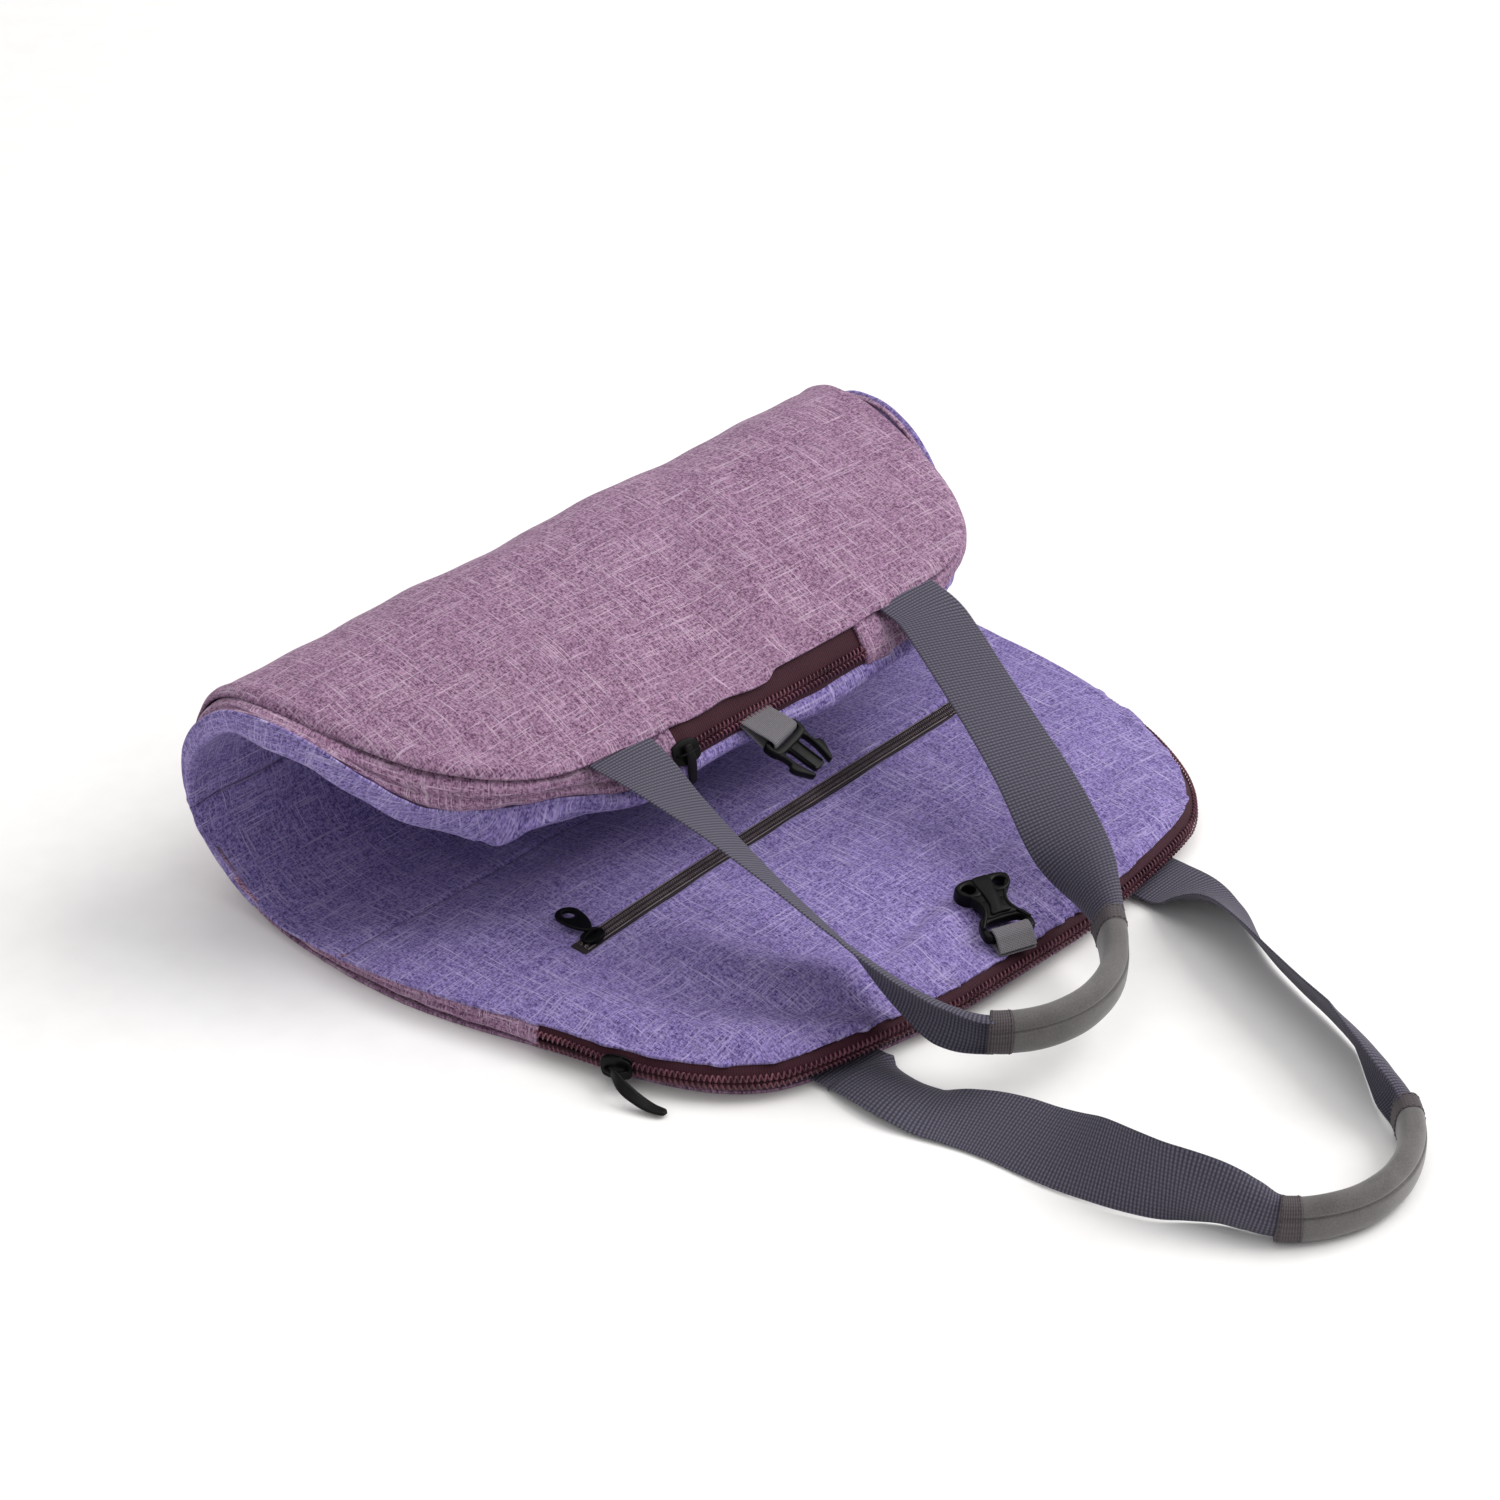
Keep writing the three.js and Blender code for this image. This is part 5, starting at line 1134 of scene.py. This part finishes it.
# zip slider: two blunt plates, a cheek along each side and an arched bridge for the pull
sliderSet = {
    "outline": [(-3.2, -6.2), (3.2, -6.2), (4.8, -2.0), (4.8, 3.0), (3.4, 6.2), (-3.4, 6.2), (-4.8, 3.0),
                (-4.8, -2.0)],
    "plates": ((-1.9, -0.7), (0.3, 1.7)), "soft": 0.45,
    "cheek": {"off": 4.1, "from": -2.4, "to": 3.2, "wide": 1.3, "thick": 2.6},
    "bridge": {"at": -0.3, "half": 4.3, "low": 1.3, "high": 2.6, "wide": 2.6, "thick": 1.1},
    "lift": 1.7, "scale": 1.25, "pocketScale": 0.95,
}


def sliderShape(seat, scale):
    outline = roundOutline(np.array(sliderSet["outline"]), 40) * scale
    cheek, bridge = sliderSet["cheek"], sliderSet["bridge"]
    parts = [plateRings(outline, low, high, sliderSet["soft"]) for low, high in sliderSet["plates"]]
    for side in (-1, 1):
        along = np.linspace(cheek["from"], cheek["to"], 9)
        line = np.column_stack([np.full(9, side * cheek["off"]), along, np.zeros(9)]) * scale
        parts.append(barRings(line, cheek["wide"], cheek["thick"], (0, 0, 1)))
    t = np.linspace(0, math.pi, 22)
    arch = np.column_stack([0 * t, bridge["at"] - bridge["half"] * np.cos(t),
                            bridge["low"] + bridge["high"] * np.sin(t) ** 0.6]) * scale
    parts.append(barRings(arch, bridge["wide"], bridge["thick"], (1, 0, 0)))
    return addSeated(Shape(), parts, seat)


for half, run, distance in (("lower", lowerRun, lowerOpenEnd + 0.5), ("upper", upperRun, 6.0)):
    spot = stripFrame(runAt(run, np.array([distance])), np.array([zipSet["middle"][half]]))
    at, normal, along = (part[0, 0] for part in spot[:3])
    slider = sliderShape((at + normal * sliderSet["lift"], along, normal), sliderSet["scale"])
    slider.make(f"{half}_zip_slider_cast", blackPlastic, "black_plastic", [f"{half}_zip_slider"])

# soft pulls: a flat strip with thick rounded rims that tapers to a blunt end
# centre line x, y, z, way across, width
pullSet = {
    "lower_zip_pull": [(-205.4, -57.5, 11.4, 0.1, 0, 1, 4.0), (-207.4, -62, 11.0, 0.3, 0, 1, 6.0),
                       (-208.4, -68, 8.6, 0.55, 0.1, 0.8, 6.5), (-207.4, -76, 5.4, 0.9, 0.1, 0.4, 6.5),
                       (-205.4, -84, 3.0, 1, 0.2, 0.1, 6.4), (-202.2, -92, 2.1, 1, 0.3, 0, 4.6)],
    "upper_zip_pull": [(-70.8, 25.0, 98.6, 1, 0, 0, 4.0), (-70.6, 22.4, 93, 1, 0, 0, 5.4),
                       (-70.2, 22.0, 86, 1, 0, 0, 6.0), (-69, 22.6, 75.6, 1, 0, 0, 5.0)],
}


def pullRings(table):
    table = np.array(table, float)
    curve = curveThrough(table[:, :3])
    frames = pathFrames(table, np.linspace(0, curve["reach"], 40), curve)
    q = blunt(np.cos(circle(20)), 0.7)
    thick = np.sin(circle(20)) * (1.0 + 0.35 * np.abs(q))
    share = frames["distance"] / curve["reach"]
    tip = np.sqrt(np.clip(1 - np.clip((share - 0.95) / 0.05, 0, 1) ** 2, 0.05, 1))
    sideways = q[None, :] * (frames["wide"] * tip)[:, None] / 2
    ring = frames["at"][:, None] + frames["across"][:, None] * sideways[..., None]
    return ring + frames["up"][:, None] * (thick[None, :] * tip[:, None])[..., None]


for name, table in pullSet.items():
    Shape().grid(pullRings(table), wrapCols=True).make(f"{name}_strip", softPull, "soft_pull", [name])
print("sliders and pulls made")

# pocket zip
# tape lying on the lining, sunk at its middle, with two coil rows, a slider and a teardrop ring
pocketX = np.linspace(pocketSet["fromX"], pocketSet["toX"], 120)[:, None]
pocketOff = np.linspace(-1, 1, 13)[None, :] * pocketSet["wide"] / 2
pocketRise = 0.1 + 0.25 * np.exp(-(pocketOff / 3) ** 2)
pocketGrid = onLining(pocketX, pocketLine(pocketX) + pocketOff, pocketRise)
pocketPlace = np.stack(np.broadcast_arrays(pocketOff, pocketX), -1)
pocketBand = Shape().grid(pocketGrid, pocketPlace).make("pocket_zip_tape_weave", pocketTape, "pocket_tape",
                                                        ["pocket_zip_tape"], pocketSet["thick"])
pocketCut = np.array([pocketSet["wide"], pocketSet["toX"] - pocketSet["fromX"]]) / 1000
declareSheet(pocketBand, (*pocketCut, pocketCut.prod()))


# six-sided wire along the zip at an offset from its middle: wound as a coil, or straight where wind is zero;
# a real turn of about 0.7 mm would not show
def pocketCoilRings(offset, wind):
    count = int((pocketSet["toX"] - pocketSet["fromX"] - 7) / pocketSet["pitch"])
    t = np.arange(count * 10 + 1) / 10
    x = pocketSet["fromX"] + 3.5 + t * pocketSet["pitch"]
    phase = 2 * math.pi * t * wind
    line = onLining(x, pocketLine(x) + offset + 0.7 * np.sin(phase), 0.75 + 0.6 * abs(wind) * np.cos(phase))
    return barRings(line, 2 * pocketSet["wire"], 2 * pocketSet["wire"], (1, pocketSet["rise"], 0), 6)


pocketTeeth = Shape()
for sign in (-1, 1):
    pocketTeeth.grid(pocketCoilRings(sign * pocketSet["coil"], sign), wrapCols=True)
    pocketTeeth.grid(pocketCoilRings(sign * pocketSet["thread"], 0)[::10], wrapCols=True)
pocketTeeth.make("pocket_zip_coil_teeth", pocketCoil, "pocket_tape", ["pocket_zip_coil"])

pocketSliderX = pocketSet["fromX"] + pocketSet["sliderAt"]
pocketSliderAt = onLining(pocketSliderX, pocketLine(pocketSliderX), 2.0)
pocketSeat = (pocketSliderAt, (1, pocketSet["rise"], 0.04), (0, 0, 1))
pocketSlider = sliderShape(pocketSeat, sliderSet["pocketScale"])
pocketSlider.make("pocket_zip_slider_cast", blackPlastic, "black_plastic", ["pocket_zip_slider"])

# teardrop ring, turned sideways: a round end with an eye, drawn out to a neck at the slider
ringSet = {"long": 27.0, "wide": 13.5, "eye": 6.4, "thick": 2.4, "neck": 19.5, "pinch": 0.32}
ringMiddle = ringSet["long"] - ringSet["wide"] / 2
ringCos, ringSin = np.cos(circle(48) - math.pi / 2), np.sin(circle(48) - math.pi / 2)
ringEye = np.stack([ringSet["eye"] / 2 * ringCos, ringMiddle + ringSet["eye"] * 1.15 / 2 * ringSin], -1)
ringWide = ringSet["wide"] / 2 * ringCos * (1 - ringSet["pinch"] * np.clip(-ringSin, 0, 1) ** 3)
ringLong = np.where(ringSin < 0, ringSet["neck"], ringSet["wide"] / 2) * ringSin
ringPart = ringPlate(ringEye, np.stack([ringWide, ringMiddle + ringLong], -1), 0, ringSet["thick"])
ringFrom = pocketSliderAt + np.array([0.0, 0.5, 2.0])
ringTo = onLining(pocketSliderX + 4, pocketLine(pocketSliderX) + 28, 1.6)
ringPull = addSeated(Shape(), [ringPart], (ringFrom, ringTo - ringFrom, (0, 0, 1)), closed=True)
ringPull.make("pocket_zip_pull_ring", blackPlastic, "black_plastic", ["pocket_zip_pull"])
print("pocket zip made")

# side release buckle
# socket half: outlines are the right half as (half width, distance along); a plate is its outline, the
# heights of its faces and the softness of its edge
socketSet = {
    "x": -2.0, "y": -133.0, "yaw": 19.0, "clear": 1.8, "long": 36.6, "count": 64,
    "frame": [(0, 0.0), (12.4, 0.0), (14.0, 2.0), (13.8, 8.4), (11.4, 13.0), (0, 14.4)],
    "frameHigh": (1.8, 7.4),
    "slot": {"seenFrom": (0, 5.6), "centre": (0, 6.4), "half": (11.0, 3.6), "powers": (0.6, 0.7)},
    "ear": [(3.6, 26.4), (8.4, 25.6), (12.6, 27.8), (14.6, 30.6), (14.8, 35.0), (12.0, 36.9), (3.6, 37.2)],
    "earHigh": (0.2, 8.8),
    "eye": {"seenFrom": (8.9, 31.4), "centre": (8.9, 31.4), "half": (3.5, 2.7), "powers": (1, 1)},
    "waist": [(0, 11.5), (9.2, 11.8), (7.2, 18.0), (7.4, 22.6), (0, 23.4)],
    "cover": [(0, 20.4), (7.2, 20.6), (8.6, 26.4), (5.0, 28.4), (4.6, 36.4), (0, 37.2)],
    "tongue": [(0, 12.5), (5.4, 12.8), (3.6, 19.0), (3.8, 26.0), (4.6, 36.6), (0, 37.2)],
    "plates": [("waist", 0.6, 8.2, 1.2), ("cover", 0.6, 2.6, 0.8), ("cover", 6.2, 8.2, 0.8),
               ("tongue", 6.6, 9.6, 0.9)],
}
socketYaw = math.radians(socketSet["yaw"])
socketFrom = onLining(socketSet["x"], socketSet["y"], socketSet["clear"])
socketEnd = onLining(socketSet["x"] + socketSet["long"] * math.sin(socketYaw),
                     socketSet["y"] + socketSet["long"] * math.cos(socketYaw), socketSet["clear"])
socketSeat = (socketFrom, socketEnd - socketFrom, (0, 0, 1))


def socketShape():
    count = socketSet["count"]
    frameOut = roundOutline(mirrored(socketSet["frame"]), count)
    rings = [ringPlate(holeFacing(frameOut, **socketSet["slot"]), frameOut, *socketSet["frameHigh"])]
    ear = roundOutline(np.array(socketSet["ear"]), count)
    eye = holeFacing(ear, **socketSet["eye"])
    rings += [ringPlate(eye * (side, 1), ear * (side, 1), *socketSet["earHigh"]) for side in (-1, 1)]
    shape = addSeated(Shape(), rings, socketSeat, closed=True)
    plates = [plateRings(roundOutline(mirrored(socketSet[key]), count), low, high, soft)
              for key, low, high, soft in socketSet["plates"]]
    # a slim rail over each waist and a skirt below it, both bowed in as half a sine
    t = np.linspace(0, 1, 30)
    arch = np.sin(math.pi * t)
    bow = arch ** 1.2
    for side in (-1, 1):
        rail = np.column_stack([side * (13.2 - 6.4 * bow - 0.4 * t), 6 + 26 * t, 7.6 + 0.5 * arch])
        skirt = np.column_stack([side * (13.0 - 5.6 * bow), 6 + 27 * t, 0 * t + 4.6])
        plates += [barRings(rail, 1.9, 1.6, (0, 0, 1)), barRings(skirt, 1.6, 6.4, (0, 0, 1))]
    return addSeated(shape, plates, socketSeat)


socketShape().make("buckle_socket_moulding", blackPlastic, "black_plastic", ["buckle_socket"])

# plug half: a frame with a slot, a middle spine with two rails, and a barbed prong on each side
plugSet = {
    "x": -22.0, "y": 34.3, "z": 91.4, "hang": (11, -41, -20), "up": (0, -0.35, 1), "tail": 21.0, "thick": 5.0,
    "count": 56,
    "frame": [(0, 0), (12.4, 0.0), (13.6, 1.4), (13.6, 6.4), (12.6, 9.2), (8.0, 10.4), (0, 10.6)],
    "slot": {"seenFrom": (0, 4.6), "centre": (0, 4.6), "half": (11.2, 1.4), "powers": (0.5, 0.6)},
    "spine": [(0, 8.6), (5.4, 9.0), (4.6, 12.0), (4.3, 23.6), (3.6, 27.6), (0, 28.2)],
    "rail": {"off": 3.3, "from": 9.4, "to": 26.6, "high": 3.7, "wide": 1.1, "thick": 1.5},
    "prong": [(8.6, 8.4), (12.6, 8.4), (11.9, 12.0), (11.9, 16.4), (14.0, 17.4), (14.2, 20.4), (11.8, 25.0),
              (8.6, 29.6), (7.0, 29.4), (8.0, 24.6), (9.2, 18.6), (9.4, 12.4)],
}
plugWay = unit(np.array(plugSet["hang"], float))
plugFrom = np.array([plugSet[key] for key in ("x", "y", "z")]) + plugWay * plugSet["tail"]
plugSeat = (plugFrom, plugWay, plugSet["up"])


def plugShape():
    count, rail = plugSet["count"], plugSet["rail"]
    frameOut = roundOutline(mirrored(plugSet["frame"]), count)
    ring = ringPlate(holeFacing(frameOut, **plugSet["slot"]), frameOut, 0, plugSet["thick"])
    shape = addSeated(Shape(), [ring], plugSeat, closed=True)
    parts = [plateRings(roundOutline(mirrored(plugSet["spine"]), count), 0.7, 3.7, 0.7)]
    along = np.linspace(rail["from"], rail["to"], 20)
    for side in (-1, 1):
        line = np.column_stack([np.full(20, side * rail["off"]), along, np.full(20, rail["high"])])
        parts.append(barRings(line, rail["wide"], rail["thick"], (0, 0, 1)))
    for side in (-1, 1):
        outline = roundOutline(np.array(plugSet["prong"]) * (side, 1), count)
        parts.append(plateRings(outline[::side], 0.4, 4.6, 0.8))
    return addSeated(shape, parts, plugSeat)


plugShape().make("buckle_plug_moulding", blackPlastic, "black_plastic", ["buckle_plug"])

# elastic doubled round the buckle's end bar, a thin rounded band with raised rims carried along the loop;
# each loop has its tail to the seam, its dip, the bar's low and high face and the band's flat length
elasticSet = {
    "wide": 21.0, "thick": 1.2, "air": 0.4, "bar": 3.2,
    "socket": {"tail": 8.0, "dip": 2.6, "low": 2.0, "high": 7.0, "long": 42.0, "rests": "lining_lower_cloth"},
    "plug": {"tail": 17.0, "dip": 0.0, "low": 0.0, "high": 5.0, "long": 68.0, "rests": "lining_upper_cloth"},
}


def elasticRings(loop, seat):
    wide, thick, air = (elasticSet[key] for key in ("wide", "thick", "air"))
    tail, dip = loop["tail"], loop["dip"]
    under = loop["low"] - 1.5 * air - thick / 2
    over = loop["high"] + 1.5 * air + thick / 2
    middle = (loop["low"] + loop["high"]) / 2
    through = elasticSet["bar"] + 2 * air + thick / 2
    line = curveThrough([(-tail, middle - 1 - dip), (-tail * 0.5, (under + middle) / 2 - 0.4 - 0.3 * dip),
                         (-0.8, under), (through - 0.8, under), (through + 0.25, middle),
                         (through - 0.8, over), (-0.8, over),
                         (-tail * 0.5, (over + middle) / 2 + 0.4 - 0.3 * dip), (-tail, middle + 1 - dip)])
    distance = np.linspace(0, line["reach"], 60)
    spot, along = onCurve(line, distance), onCurve(line, distance, "along")
    turn = circle(32)
    q = blunt(np.cos(turn), 0.5)
    rim = 1 + 0.45 * bell(np.abs(q) - 0.9, 0.07)
    level = blunt(np.sin(turn), 0.4) * rim * thick / 2
    y = spot[:, :1] - along[:, 1:] * level[None, :]
    z = spot[:, 1:] + along[:, :1] * level[None, :]
    x = np.broadcast_to(q[None, :] * wide / 2, y.shape)
    place = np.stack(np.broadcast_arrays(x, distance[:, None]), -1)
    return setOn(np.stack([x, y, z], -1), *seat), place


for half, seat in (("socket", socketSeat), ("plug", plugSeat)):
    loop = elasticSet[half]
    elastic = Shape().grid(*elasticRings(loop, seat), wrapCols=True)
    node = f"buckle_{half}_elastic"
    elastic = elastic.make(f"{node}_loop", greyElastic, "grey_elastic", [node])
    cut = np.array([elasticSet["wide"], loop["long"]]) / 1000
    declareSheet(elastic, (*cut, cut.prod()))
print("buckle made")
